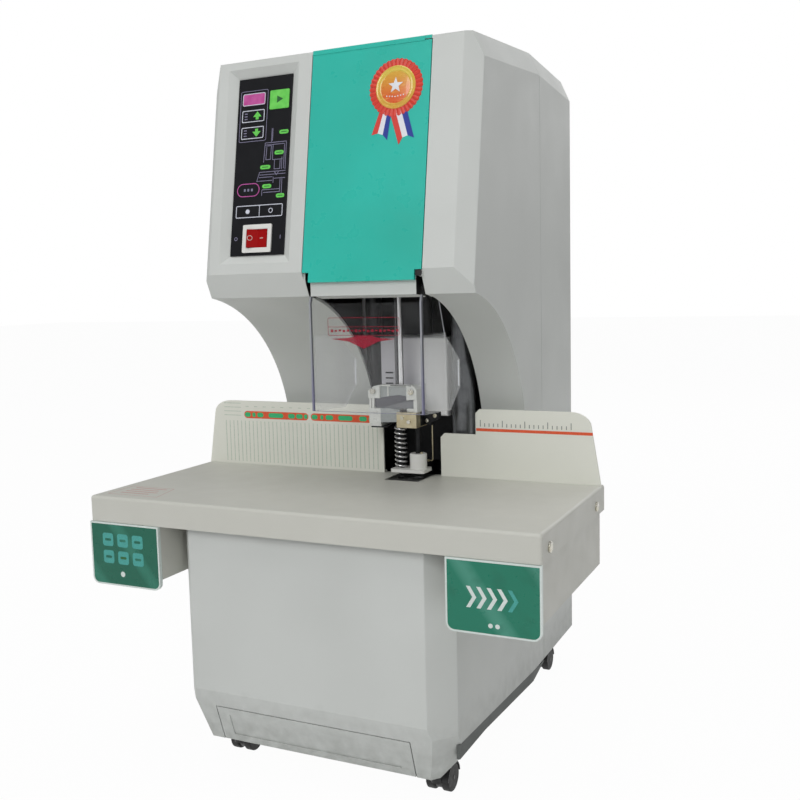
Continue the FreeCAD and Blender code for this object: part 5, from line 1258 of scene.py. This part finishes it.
@dataclass
class Rosette:
    """A show rosette stuck on the service door: pleated ring, foil disc with a star and two ribbons."""

    x: float = 57.8
    s: float = 161.0
    outer: float = 25.3
    ring: float = 19.2
    disc: float = 14.3
    pleats: int = 36

    def pleat(self) -> bpy.types.Mesh:
        """One folded pleat, whose length is along the local X."""
        part = PartMesh()
        half = math.pi * self.outer / self.pleats * 0.98
        inner = half * 0.72
        x0 = self.ring - 1.5 - self.outer
        bottom = [(x0, -inner, 0.0), (0.0, -half, 0.0), (0.9, 0.0, 0.0), (0.0, half, 0.0), (x0, inner, 0.0)]
        top = [(x0, -inner, 0.35), (-0.4, -half * 0.9, 0.3), (0.4, 0.0, 0.85), (-0.4, half * 0.9, 0.3),
               (x0, inner, 0.35)]
        verts = [[part.faces.verts.new(Vector(p)) for p in loop] for loop in (bottom, top)]
        ridge = part.faces.verts.new(Vector((x0, 0.0, 1.0)))
        foot = part.faces.verts.new(Vector((x0, 0.0, 0.0)))
        low, high = verts
        for a, b in ((0, 1), (1, 2), (2, 3), (3, 4)):
            part.faces.faces.new((low[a], low[b], high[b], high[a]))
        part.faces.faces.new((high[0], high[1], high[2], ridge))
        part.faces.faces.new((ridge, high[2], high[3], high[4]))
        part.faces.faces.new((low[2], low[1], low[0], foot))
        part.faces.faces.new((foot, low[4], low[3], low[2]))
        part.faces.faces.new((low[4], foot, ridge, high[4]))
        part.faces.faces.new((foot, low[0], high[0], ridge))
        bmesh.ops.recalc_face_normals(part.faces, faces=part.faces.faces[:])
        return part.plain("pleat")

    def build(self) -> None:
        """Build the rosette on the door."""
        seat = Seat("service_door", LEANING)
        base = seat.height(self.x, self.s)
        centre = LEANING @ Matrix.Translation(Vector((self.x, self.s, base)))
        part = PartMesh()
        pleats = repeat(RepeatKind.RING).bake(self.pleat(), Palette.PETAL.value, Count=self.pleats,
                                              Radius=self.outer)
        part.add(pleats, centre, Palette.PETAL.value)
        part.block(disc(0, 0, self.outer - 1.6, 72), -SINK, 0.25, centre, Palette.PETAL_DEEP.value)
        part.piece("rosette_pleats", "service_door", "green_door", 20.0)
        face = PartMesh()
        rim = [(0, 0.6), (self.ring, 0.6), (self.ring, 1.0), (self.ring - 0.8, 1.35), (self.ring - 1.6, 1.1),
               (self.disc + 1.8, 1.1), (self.disc + 1.0, 1.4), (self.disc + 0.2, 1.05), (0, 1.05)]
        face.lathe(rim, centre, Palette.GOLD_RING.value, 96)
        face.block(disc(0, 0, self.disc, 64), 0.9, 1.15, centre, Palette.GOLD_DISC.value, 0.1)
        face.block(star(0, 1.4, 7.4, 3.0), 1.1, 1.35, centre, Palette.TAIL_WHITE.value, 0.1)
        for i in range(-3, 4):
            face.block(disc(i * 2.7, -8.6 + abs(i) * 0.35, 0.6, 12), 1.1, 1.3, centre,
                       Palette.TAIL_WHITE.value)
        face.piece("rosette_disc", "service_door", "green_door", 30.0)
        self.tails(seat)

    def tails(self, seat: Seat) -> None:
        """Two swallow-tailed ribbons of three stripes each, fanned out below."""
        part = PartMesh()
        stripes = (Palette.TAIL_RED.value, Palette.TAIL_WHITE.value, Palette.TAIL_BLUE.value)
        shapes = (((43.2, 142.0), (54.4, 139.6), (36.0, 120.2), (51.6, 114.4), 6.0, -0.12),
                  ((52.4, 141.2), (68.6, 143.0), (62.8, 109.6), (77.6, 114.6), 6.4, 0.0))
        for top_left, top_right, low_left, low_right, notch, lift in shapes:
            for i, finish in enumerate(stripes):
                edges = []
                for share in (i / 3, (i + 1) / 3):
                    top = [a + (b - a) * share for a, b in zip(top_left, top_right)]
                    rise = notch * (1 - abs(2 * share - 1))
                    low = [a + (b - a) * share for a, b in zip(low_left, low_right)]
                    low = [c + (t - c) * rise / 30 for c, t in zip(low, top)]
                    edges.append((top, low))
                (tl, ll), (tr, lr) = edges
                rows = 6
                outline = [tuple(p + (q - p) * k / rows for p, q in zip(tl, ll)) for k in range(rows + 1)]
                outline += [tuple(p + (q - p) * k / rows for p, q in zip(lr, tr)) for k in range(rows + 1)]
                height = seat.height(self.x, 125.0)
                bottom = [(x, y, height - SINK) for x, y in outline]
                top_face = [(x, y, height + lift + 0.25) for x, y in outline]
                part.close(bottom, top_face, LEANING, part.number(finish))
        part.piece("rosette_ribbons", "service_door", "green_door")


@dataclass
class ServiceDoor:
    """The green door, its fold over the roof's edge, the hinge's cap and the rosette."""

    left: float = -28.2
    right: float = 90.2
    hinge_room: float = 6.4         # length of the fold's fixed end beside the hinge
    fold_from: float = 199.8        # where the moving fold and the fixed end start up the face
    end_from: float = 201.0
    fold_gap: float = 0.15
    fold_back: float = 4.6
    roof_rise: float = 1.2
    skin_over: float = 0.45         # outer and inner sides of the skin over the face
    skin_under: float = 0.05
    skin: float = 0.35

    def fold(self) -> None:
        """The door's skin folded back over the roof's front edge, and its fixed end beside the hinge."""
        over, under, skin = self.skin_over, self.skin_under, self.skin
        top = FACE_H + over
        split = self.right - self.hinge_room
        for name, body, x0, x1, start in (("door_fold", "service_door", self.left, split, self.fold_from),
                                          ("fold_end", "cabinet", split + self.fold_gap, self.right,
                                           self.end_from)):
            path = [(start, over), (top, over), (top + self.roof_rise, -self.fold_back),
                    (top + self.roof_rise - skin, -self.fold_back), (top - skin, under), (start, under)]
            corners = [LEANING @ Vector((0, s, out)) for s, out in path]
            part = PartMesh()
            part.block([(at.y, at.z) for at in corners], x0, x1, RIGHT_SIDE, Palette.DOOR.value)
            part.piece(name, body, "green_door")

    def cap(self) -> None:
        """Black cap on the hinge lug in the door's lower right notch."""
        part = PartMesh()
        part.block(rounded(84.6, 90.9, -6.4, -0.9, 1.6), -0.6, 0.15, LEANING, Palette.LINER.value, 0.3)
        part.piece("hinge_cap", "cabinet", "black_sheet")

    def build(self) -> None:
        """Dress the door and put its small parts on."""
        dress(Palette.DOOR, "service_door")
        dress(Palette.BLACKED, "hinge_pins")
        self.fold()
        self.cap()
        Rosette().build()


@dataclass
class Guard:
    """The clear guard, its bright edges and its printed mark."""

    left: float = -26.0
    right: float = 88.0
    front: float = -109.0
    low: float = 335.0
    top: float = 434.0
    thickness: float = 3.0
    room: float = 1.4

    def slot_liners(self) -> None:
        """Black liners on the walls and the back of the two slots that the cheeks hang in, and a strip under
        the sill between them: painted shade in the slots.
        """
        part = PartMesh()
        black = Palette.LINER.value
        shell = [(-93.4, 438.9), (-93.4, 462.6), (-110.9, 462.6), (-110.4, 452.2), (-105.0, 441.0)]
        sill = [(-93.4, 438.9), (-93.4, 462.6), (-110.9, 462.6), (-112.2, 453.0), (-112.2, 441.1)]
        for inner in (self.left, self.right - self.thickness):
            x0 = inner - self.room
            x1 = inner + self.thickness + self.room
            walls = (shell, sill) if inner < 0 else (sill, shell)
            part.block(walls[0], x0 - SINK, x0 + 0.15, RIGHT_SIDE, black)
            part.block(walls[1], x1 - 0.15, x1 + SINK, RIGHT_SIDE, black)
            part.block([(x0, 447.2), (x1, 447.2), (x1, 462.6), (x0, 462.6)], 93.0 - SINK, 93.2, FACING, black)
        part.block([(self.left + 3.0, -112.3), (self.right - 3.0, -112.3), (self.right - 3.0, -105.6),
                    (self.left + 3.0, -105.6)], 440.7, 440.88, ABOVE, black)
        part.piece("slot_liners", "cabinet", "black_sheet")

    def edges(self) -> None:
        """Thin skins on the cut edges, with painted highlights and painted shade for the light gathered
        inside the sheet.
        """
        part = PartMesh()
        edge = Palette.EDGE.value
        half = self.thickness / 2
        for x in (self.left, self.right - self.thickness):
            for start, finish in ((x, edge), (x + half, Palette.EDGE_DARK.value)):
                for rise, shift in ((self.top, 0.0), (self.top + 6.4, 2.0)):
                    foot = self.low if not shift else self.top
                    part.block([(self.front - 0.03, foot), (self.front - 0.03 + shift, rise),
                                (self.front + 0.1 + shift, rise), (self.front + 0.1, foot)], start,
                               start + half,
                               RIGHT_SIDE, finish)
        part.block([(self.left, self.front), (self.right, self.front),
                    (self.right, self.front + self.thickness),
                    (self.left, self.front + self.thickness)], self.low - 0.03, self.low + 0.1, ABOVE, edge)
        # painted glints on the cheeks' rear edges, and after them a slanted painted glint on the right cheek
        for x in (self.left, self.right - self.thickness):
            part.block([(x + 0.8, -24.1), (x + 2.0, -24.1), (x + 2.0, -23.97), (x + 0.8, -23.97)], 352.5,
                       377.0,
                       ABOVE, Palette.EDGE_LIT.value)
        part.block([(-69.7, 433.9), (-57.1, 400.9), (-56.9, 401.0), (-69.5, 434.0)], 86.4, 87.2, RIGHT_SIDE,
                   Palette.EDGE.value)
        part.piece("guard_edges", "guard", "clear_acrylic")

    def print(self) -> None:
        """A red frame of two cells over a flat arrow that points down."""
        seat = Seat("guard", FACING)
        part = PartMesh()
        red = Palette.INK_RED.value
        part.mark_frame(rounded(-6.6, 64.8, 405.2, 421.0, 1.5), 0.45, seat, red)
        part.mark_line([(-6.4, 412.8), (64.6, 412.8)], 0.45, seat, red)
        for i in range(17):
            x = -4.0 + i * 4.1
            part.mark(rounded(x, x + 2.6, 408.0 + i % 3 * 0.4, 410.6 - i % 2 * 0.5, 0.3), seat, red)
        part.mark([(-4.4, 402.0), (14.0, 399.6), (29.4, 393.2), (44.0, 399.6), (61.6, 402.0), (44.0, 402.9),
                   (37.0, 404.6), (22.0, 404.6), (14.0, 402.9)], seat, red)
        part.piece("guard_print", "guard", "clear_acrylic")

    def build(self) -> None:
        """Dress the guard and print it."""
        dress(Palette.ACRYLIC, "guard")
        self.slot_liners()
        self.edges()
        self.print()


@dataclass
class WorkTable:
    """The table, its fences, their rules and their screws."""

    pitch: float = 5.0
    rule_from: float = -196.0
    rule_to: float = -11.0
    rule_low: float = 262.6
    rule_high: float = 307.2

    def dress(self) -> None:
        """Finish the sheets and their screws."""
        dress(Palette.TABLE, "work_table", "left_housing", "right_housing")
        dress(Palette.FENCE, "left_fence", "right_fence")
        dress(Palette.SCREW, "sheet_screws")

    def rules(self) -> None:
        """The left fence's ruled lines at 5 mm, repeated in one row."""
        seat = Seat("left_fence", FACING)
        part = PartMesh()
        height = seat.height(-100.0, 290.0)
        line = PartMesh()
        line.block([(-0.45, 0), (0.45, 0), (0.45, self.rule_high - self.rule_low), (-0.45,
                    self.rule_high - self.rule_low)], -SINK, INK, Matrix(), Palette.INK_RULE.value)
        count = int((self.rule_to - self.rule_from) / self.pitch) + 1
        row = repeat(RepeatKind.ROW).bake(line.plain("rule"), Palette.INK_RULE.value, Count=count,
                                          Step=(self.pitch, 0.0, 0.0))
        where = FACING @ Matrix.Translation(Vector((self.rule_from, self.rule_low, height)))
        part.add(row, where, Palette.INK_RULE.value)
        for z in (326.2, 321.8, 317.4, 313.0):
            part.mark(rounded(-198.0, -176.0, z - 0.35, z + 0.35, 0.2), seat, Palette.INK_RULE.value)
        for i in range(8):
            x = -170.0 + i * 11.0
            part.mark(rounded(x, x + 4.0, 322.6, 323.4, 0.3), seat, Palette.INK_RULE.value)
        part.piece("fence_rules", "cabinet", "painted_fence")

    def pills(self) -> None:
        """Two long orange frames filled with green bars."""
        seat = Seat("left_fence", FACING)
        part = PartMesh()
        orange = Palette.INK_ORANGE.value
        green = Palette.INK_JADE.value
        spans = (((-172.0, -91.6), ((-171.0, -163.6), (-161.6, -157.4), (-155.4, -147.4), (-141.0, -122.4),
                                    (-116.4, -108.0), (-106.6, -98.4), (-96.8, -92.6))),
                 ((-88.6, -14.0), ((-87.6, -80.4), (-77.0, -73.4), (-70.8, -61.8), (-55.8, -39.0),
                                   (-31.4, -22.4), (-20.4, -15.0))))
        for (x0, x1), bars in spans:
            part.mark(rounded(x0, x1, 310.2, 318.0, 3.9), seat, orange)
            for a, b in bars:
                part.mark(rounded(a, b, 311.6, 316.6, 2.5), seat, green, 0.24)
        part.piece("fence_bars", "cabinet", "painted_fence")

    def limit(self) -> None:
        """The red height line on the right fence, with a scale of ticks over it."""
        seat = Seat("right_fence", FACING)
        part = PartMesh()
        part.mark(rounded(96.6, 211.4, 306.6, 309.4, 0.2), seat, Palette.INK_ORANGE.value)
        for i in range(21):
            x = 101.0 + i * 4.5
            top = 317.5 if i % 5 == 0 else 314.5
            part.mark(rounded(x - 0.4, x + 0.4, 311.0, top, 0.2), seat, Palette.INK_GREY.value)
        part.piece("height_line", "cabinet", "painted_fence")

    def corner_mark(self) -> None:
        """A faint red frame printed on the table's left front corner."""
        seat = Seat("work_table", ABOVE)
        part = PartMesh()
        corners = [(-209.0, -183.0), (-152.0, -183.0), (-160.0, -147.0), (-209.0, -147.0)]
        part.mark_frame(corners, 0.8, seat, Palette.INK_FAINT.value, 0.05)
        for i in range(4):
            y = -176.0 + i * 7.4
            part.mark(rounded(-201.0, -168.0 + (i % 2) * 4.0, y, y + 2.6, 0.5), seat, Palette.INK_FAINT.value,
                      0.05)
        part.piece("table_mark", "cabinet", "painted_table")

    def build(self) -> None:
        """Dress the table and print it."""
        self.dress()
        self.rules()
        self.pills()
        self.limit()
        self.corner_mark()


@dataclass
class AccessoryDrawer:
    """One of the two small drawers under the table, with its printed front."""

    side: str
    inner: float
    outer: float
    finish: Palette
    low: float = 176.0
    high: float = 235.7

    def outline(self, margin: float, radius: float) -> list:
        """The plate's outline, drawn in by a margin, with its lower corners round."""
        x0, x1 = sorted((self.inner, self.outer))
        x0, x1 = x0 + margin, x1 - margin
        low, high = self.low + margin, self.high - margin
        points = [(x1, high), (x0, high)]
        for cx, cy, start in ((x0 + radius, low + radius, 180), (x1 - radius, low + radius, 270)):
            for step in range(7):
                a = math.radians(start + 15 * step)
                points.append(on_circle(radius, a, cx, cy))
        return points

    def front(self) -> None:
        """The label plate: a white edge round a printed sheet with plain figures of its own."""
        low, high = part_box(f"{self.side}_drawer_plate")
        face = -low.y / MM
        back = -high.y / MM
        part = PartMesh()
        outer, inner = self.outline(0.0, 7.0), self.outline(1.5, 5.5)
        part.band(outer, inner, back, face, FACING, Palette.PLATE_EDGE.value)
        part.block(inner, back, face - INK, FACING, self.finish.value)
        self.figures(part, face - INK)
        made = part.piece(f"{self.side}_drawer_front", f"{self.side}_drawer", "green_plate")
        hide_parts(f"{self.side}_drawer_plate")

    def figures(self, part: PartMesh, level: float) -> None:
        """Plain printed figures: squares in two rows on the left plate, a chevron fan on the right."""
        pale = Palette.INK_BLUE.value
        light = Palette.PLATE_EDGE.value
        middle = (self.inner + self.outer) / 2
        if self.side == "left":
            for row, z in enumerate((219.6, 203.2)):
                for column in range(3):
                    x = middle - 2.0 + (column - 1) * 17.2
                    part.block(rounded(x - 6.2, x + 6.2, z - 6.2, z + 6.2, 2.4), level - SINK, level + 0.04,
                               FACING,
                               pale)
                    shade = Palette.INK_DARK.value if (row, column) == (1, 1) else self.finish.value
                    part.block(rounded(x - 3.6, x + 3.6, z - 1.2, z + 1.2, 1.1), level - SINK, level + 0.08,
                               FACING, shade)
            part.block(disc(middle - 3.6, 187.6, 2.6), level - SINK, level + 0.04, FACING, light)
        else:
            for i in range(5):
                x = middle - 22.0 + i * 8.6
                part.block([(x, 197.0), (x + 3.4, 197.0), (x + 8.6, 205.6), (x + 3.4, 214.2), (x, 214.2),
                            (x + 5.2, 205.6)], level - SINK, level + 0.06, FACING, light if i < 4 else pale)
            for i in range(2):
                part.block(disc(middle - 2.0 + i * 5.8, 184.0, 1.9), level - SINK, level + 0.04, FACING,
                           light)

    def build(self) -> None:
        """Dress the drawer and print its front."""
        dress(Palette.TRAY, f"{self.side}_drawer_tray")
        self.front()


@dataclass
class RivetingHead:
    """The carriage with its drill, heater and presser, the columns and the anvil."""

    spring_radius: float = 5.5
    spring_wire: float = 1.1
    spring_turns: float = 9.0
    axis: tuple = (21.5, -18.5)
    punch: tuple = (40.0, -18.5)

    def dress(self) -> None:
        """Finish the parts of the head."""
        dress(Palette.BLACKED, "lift_saddle", "lift_screw")
        dress(Palette.COVER, "saddle_cover")
        dress(Palette.SCREW, "head_screws")
        dress(Palette.BRASS, "heater_block")
        dress(Palette.SPINDLE, "spindle")
        dress(Palette.GREY_COLUMN, "right_guide_column")
        dress(Palette.COLUMN, "left_guide_column")
        dress(Palette.TURNED, "anvil")
        dress(Palette.WHITE, "presser_plate", "nylon_bush")

    def spring(self) -> None:
        """The presser's coil spring."""
        low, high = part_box("presser_spring")
        empty = bpy.data.meshes.new("wire")
        empty.from_pydata([(0, 0, 0)], [], [])
        coil = repeat(RepeatKind.COIL).bake(empty, Palette.SPRING.value, Turns=self.spring_turns,
                                            Radius=self.spring_radius, Wire=self.spring_wire,
                                            Height=(high.z - low.z) / MM - 2 * self.spring_wire)
        part = PartMesh()
        where = Matrix.Translation(Vector((*self.axis, low.z / MM + self.spring_wire)))
        part.add(coil, where, Palette.SPRING.value)
        made = part.piece("presser_coil", "carriage", "ground_steel", 60.0)
        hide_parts("presser_spring")
        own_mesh(made)

    def sleeves(self) -> None:
        """Blackened sleeves on the presser's stem and on the punch, and the bush's brass set ball."""
        stem = PartMesh()
        stem.rod([(*self.axis, 269.2), (*self.axis, 315.8)], 4.05, Palette.BLACKED.value, 32)
        ball = [(0, -1.2), (1.1, -0.9), (1.6, 0.0), (1.1, 0.9), (0, 1.2)]
        stem.lathe(ball, Matrix.Translation(Vector((44.2, -20.0, 284.5))), Palette.BRASS.value, 20)
        stem.piece("stem_sleeve", "presser", "dark_steel")
        punch = PartMesh()
        punch.rod([(*self.punch, 268.6), (*self.punch, 311.3)], 2.56, Palette.BLACKED.value, 24)
        punch.piece("punch_sleeve", "carriage", "dark_steel")

    def bracket(self) -> None:
        """Black bracket beside the heater with two bright screws, and its bent feeler rod."""
        part = PartMesh()
        black = Palette.BLACKED.value
        part.block([(45.6, 313.0), (53.0, 311.6), (53.0, 315.0), (61.0, 318.0), (61.0, 325.0), (45.6, 325.0)],
                   8.5,
                   15.5, FACING, black, 0.4)
        part.rod([(49.8, -5.2, 322.0), (49.8, -5.2, 276.4), (49.4, -5.2, 275.2), (48.4, -5.2, 274.8),
                  (44.6, -5.2, 274.8)], 0.6, Palette.BRASS.value)
        part.block([(47.6, 319.0), (52.0, 319.0), (52.0, 324.0), (47.6, 324.0)], 4.0, 8.6, FACING, black)
        part.lathe([(0, -1.2), (1.3, -1.2), (1.3, 1.2), (0, 1.2)],
                   place((44.8, -5.2, 274.8), (0, 1, 0), (0, 0, 1)),
                   Palette.BRASS.value, 16)
        part.piece("heater_bracket", "carriage", "dark_steel")
        spots = [(48.8, 316.4, 15.5), (57.4, 321.4, 15.5)]
        screws_at(spots, FACING, 2.1, 1.3, Palette.SCREW.value, 5).piece("bracket_screws", "carriage",
                                                                         "plated_screw")

    def casting(self) -> None:
        """The tool head: two bright ears and bars round a cast body, with a dark arched band of painted
        shadow over a grey block in painted shade.
        """
        part = PartMesh()
        bright, cast, grey = Palette.MACHINED.value, Palette.CASTING.value, Palette.GREY_CAST.value
        dark = Palette.SHADOW_BAND.value
        for outline, low, high, finish, bevel in (
                ([(-6.2, 313.2), (38.0, 313.2), (38.0, 350.6), (-6.2, 346.0)], -7.8, 12.5,
                 Palette.COVER.value, 0.4),
                ([(-6.2, 328.0), (14.8, 328.0), (14.8, 350.0), (-6.2, 346.0)], 12.0, 26.0, cast, 0.2),
                ([(28.2, 328.0), (38.0, 328.0), (38.0, 350.6), (28.2, 350.6)], 12.0, 26.0, cast, 0.2),
                ([(-7.6, 339.0), (5.2, 339.0), (5.2, 352.2), (-1.0, 351.0), (-7.6, 346.6)], 16.0, 31.0,
                 bright, 0.5),
                ([(34.0, 337.6), (44.9, 338.6), (44.9, 348.6), (41.6, 351.4), (34.0, 352.2)], 16.0, 31.0,
                 bright, 0.5),
                ([(5.2, 339.4), (34.0, 341.0), (34.0, 350.8), (5.2, 350.8)], 25.2, 28.8, cast, 0.3),
                ([(13.0, 341.0), (14.4, 341.0), (14.4, 350.8), (13.0, 350.8)], 25.2, 29.7, bright, 0.2),
                ([(-1.2, 350.9), (40.6, 350.9), (40.6, 352.6), (10.0, 352.6)], 25.2, 30.6, bright, 0.2),
                # painted shadow: the dark arched band, and under it the grey block in painted shade
                ([(-1.0, 330.8), (10.0, 330.8), (19.0, 333.4), (30.0, 336.2), (42.2, 336.8), (42.2, 339.0),
                  (34.0, 341.2), (26.0, 342.4), (15.0, 341.4), (5.0, 339.4), (-1.0, 338.8)], 25.2, 29.3, dark,
                 0.3),
                ([(-1.0, 328.8), (22.0, 328.8), (41.4, 329.4), (41.4, 337.0), (30.0, 336.4), (19.0, 333.6),
                  (10.0, 331.0), (-1.0, 331.0)], 25.2, 28.2, grey, 0.3),
                ([(-6.6, 329.0), (-4.5, 329.0), (-4.5, 339.2), (-6.6, 339.2)], 16.0, 30.6, bright, 0.3),
                ([(-3.7, 329.0), (-1.2, 329.0), (-1.2, 339.2), (-3.7, 339.2)], 16.0, 30.6, bright, 0.3),
                ([(41.4, 325.6), (45.2, 325.6), (45.2, 338.8), (41.4, 337.8)], 16.0, 30.6, bright, 0.3),
                ([(34.2, 326.2), (41.6, 326.2), (41.6, 329.4), (34.2, 329.4)], 16.0, 30.2, bright, 0.3)):
            part.block(outline, low, high, FACING, finish, bevel)
        part.block([(-6.6, -31.4), (6.0, -31.4), (6.0, -10.0), (-6.6, -10.0)], 313.1, 329.2, ABOVE, bright,
                   0.6)
        part.block([(5.8, -31.2), (20.4, -25.6), (24.2, -25.6), (24.2, -24.8), (14.8, -24.8), (14.8, -10.0),
                    (5.8, -10.0)], 315.2, 329.0, ABOVE, cast, 0.3)
        made = part.piece("tool_casting", "carriage", "cast_aluminium")
        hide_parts("tool_head")

    def trims(self) -> None:
        """Slotted washer under the spindle, the foot's dark plate, a set screw and the three wire pins."""
        part = PartMesh()
        black = Palette.BLACKED.value
        part.block([(17.0, 351.4), (39.4, 351.4), (39.4, 352.2), (17.0, 352.2)], 30.5, 30.9, FACING, black)
        part.block([(-6.0, -31.0), (6.2, -31.0), (6.2, -12.0), (-6.0, -12.0)], 311.3, 313.3, ABOVE,
                   Palette.MACHINED.value, 0.3)
        part.block([(-5.0, -30.6), (8.0, -30.6), (12.0, -28.2), (12.0, -12.0), (-5.0, -12.0)], 309.9, 311.5,
                   ABOVE,
                   black)
        part.block([(-24.0, 312.0), (-7.0, 312.0), (-7.0, 325.8), (-24.0, 325.8)], 45.4, 45.8, RIGHT_SIDE,
                   black)
        part.lathe([(0, -0.8), (1.1, -0.8), (1.1, 0.3), (0.7, 0.7), (0, 0.7)],
                   FACING @ Matrix.Translation(Vector((21.6, 323.4, 26.0))), Palette.SCREW.value, 20)
        for z in (350.0, 355.5, 361.0):
            part.rod([(-6.0, 7.3, z), (2.0, 7.3, z)], 0.75, Palette.BLACKED.value, 8)
            part.rod([(2.0, 7.3, z), (3.2, 7.3, z)], 0.4, Palette.GROUND.value, 8)
        part.piece("casting_trim", "carriage", "cast_aluminium")

    def build(self) -> None:
        """Dress the head, wind its spring and add its small parts."""
        self.dress()
        self.spring()
        self.sleeves()
        self.bracket()
        self.casting()
        self.trims()


@dataclass
class Drives:
    """The motors, pulleys and belt in the top of the machine, and the mains inlet."""

    def build(self) -> None:
        """Finish the drive and power parts."""
        dress(Palette.MOTOR, "lift_motor", "drill_motor")
        dress(Palette.PULLEY, "spindle_pulley", "motor_pulley")
        dress(Palette.BELT, "drive_belt")
        dress(Palette.NYLON, "mains_inlet")
        part = PartMesh()
        for x, z in ((-84.0, 90.0), (-76.0, 90.0), (-80.0, 95.0)):
            part.block(rounded(-x - 0.9, -x + 0.9, z - 2.0, z + 2.0, 0.5), 188.6, 196.5, BEHIND,
                       Palette.BRASS.value,
                       0.2)
        part.piece("inlet_pins", "cabinet", "brass_block")


@dataclass
class Caster:
    """One twin-wheel caster."""

    name: str

    def build(self) -> None:
        """Finish the fork and the wheels."""
        dress(Palette.NYLON, f"{self.name}_fork")
        dress(Palette.TYRE, f"{self.name}_wheels")


# ---------------------------------------------------------------- studio
@dataclass
class Studio:
    """The floor, the lamps, the world and the camera."""

    focal: float = 982.4            # focal length and width of the picture, in the same unit
    picture: float = 800.0
    sensor: float = 36.0
    clip_start: float = 0.05
    azimuth: float = 25.2
    pitch: float = 6.5
    roll: float = -1.4
    camera_at: tuple = (433.1, -893.4, 446.5)
    aim: tuple = (0, 0, 0.35)       # what the lamps point at
    lamps: tuple = (("key_lamp", (0.1, -3.2, 2.2), 1.6, 47.0), ("top_lamp", (0.2, -0.6, 3.2), 2.0, 26.0),
                    ("back_lamp", (0.8, 2.6, 1.6), 1.8, 14.0))
    floor_reach: float = 12.0
    floor_glow: float = 0.97        # how much of the floor's look is its own light
    ambient: float = 0.32           # strength of the surround where it only lights

    def camera(self) -> None:
        """Set the camera up."""
        a, p, r = (math.radians(v) for v in (self.azimuth, self.pitch, self.roll))
        right = Vector((math.cos(a), math.sin(a), 0))
        ahead = Vector((-math.sin(a) * math.cos(p), math.cos(a) * math.cos(p), -math.sin(p)))
        up = right.cross(ahead)
        x = math.cos(r) * right + math.sin(r) * up
        y = -math.sin(r) * right + math.cos(r) * up
        data = bpy.data.cameras.new("camera")
        data.sensor_width = self.sensor
        data.lens = self.focal * self.sensor / self.picture
        data.clip_start = self.clip_start
        camera = add_object("camera", data)
        camera.matrix_world = (Matrix.Translation(Vector(self.camera_at) * MM)
                               @ Matrix((x, y, -ahead)).transposed().to_4x4())
        bpy.context.scene.camera = camera

    def lamp(self, name: str, at: tuple, size: float, watts: float) -> None:
        """A soft square lamp aimed at the machine's middle."""
        data = bpy.data.lights.new(name, "AREA")
        data.shape = "SQUARE"
        data.size = size
        data.energy = watts
        lamp = add_object(name, data)
        lamp.location = at
        lamp.rotation_euler = (Vector(self.aim) - Vector(at)).to_track_quat("-Z", "Y").to_euler()

    def floor(self) -> None:
        """A pale floor that shows the machine's shadow."""
        mesh = bpy.data.meshes.new("studio_floor")
        reach = self.floor_reach
        mesh.from_pydata([(-reach, -reach, 0), (reach, -reach, 0), (reach, reach, 0), (-reach, reach, 0)], [],
                         [(0, 1, 2, 3)])
        material = Palette.FLOOR.value.material()
        tree = material.node_tree
        shader = tree.nodes["Principled BSDF"]
        path = add_node(tree, "ShaderNodeLightPath")
        seen = add_node(tree, "ShaderNodeMath", {0: path.outputs["Is Camera Ray"],
                                                 1: path.outputs["Is Transmission Ray"]}, operation="MAXIMUM")
        seen = add_node(tree, "ShaderNodeMath", {0: seen.outputs[0], 1: path.outputs["Is Glossy Ray"]},
                        operation="MAXIMUM")
        share = add_node(tree, "ShaderNodeMath", {0: seen.outputs[0], 1: self.floor_glow},
                         operation="MULTIPLY")
        glow = add_node(tree, "ShaderNodeEmission", {0: (1, 1, 1, 1), 1: 1.0})
        mixed = add_node(tree, "ShaderNodeMixShader", {0: share.outputs[0], 1: shader.outputs[0],
                                                       2: glow.outputs[0]})
        tree.links.new(mixed.outputs[0], tree.nodes["Material Output"].inputs[0])
        mesh.materials.append(material)
        floor = add_object("studio_floor", mesh)

    def world(self) -> None:
        """An even pale surround, white where the camera or glass sees it."""
        world = bpy.data.worlds.new("studio")
        world.use_nodes = True
        tree = world.node_tree
        background = tree.nodes["Background"]
        path = add_node(tree, "ShaderNodeLightPath")
        seen = add_node(tree, "ShaderNodeMath", {0: path.outputs["Is Camera Ray"],
                                                 1: path.outputs["Is Transmission Ray"]}, operation="MAXIMUM")
        strength = add_node(tree, "ShaderNodeMapRange",
                            {0: seen.outputs[0], 1: 0.0, 2: 1.0, 3: self.ambient, 4: 1.0})
        background.inputs[0].default_value = (1.0, 1.0, 1.0, 1.0)
        tree.links.new(strength.outputs[0], background.inputs[1])
        bpy.context.scene.world = world

    def build(self) -> None:
        """Build the whole studio."""
        self.camera()
        self.floor()
        self.world()
        for name, at, size, watts in self.lamps:
            self.lamp(name, at, size, watts)
        bpy.context.scene.view_settings.view_transform = "Standard"


def main() -> None:
    """Build every sub-assembly in order and report each piece."""
    logging.basicConfig(level=logging.INFO, format="%(name)s %(message)s")
    Studio().build()
    Cabinet().build()
    ControlPanel().build()
    ServiceDoor().build()
    Guard().build()
    WorkTable().build()
    AccessoryDrawer("left", -141.0, -220.0, Palette.PLATE_LEFT).build()
    AccessoryDrawer("right", 141.0, 220.0, Palette.PLATE_RIGHT).build()
    RivetingHead().build()
    Drives().build()
    for end in ("front", "rear"):
        for side in ("left", "right"):
            Caster(f"{end}_{side}").build()


if __name__ == "__main__":
    main()
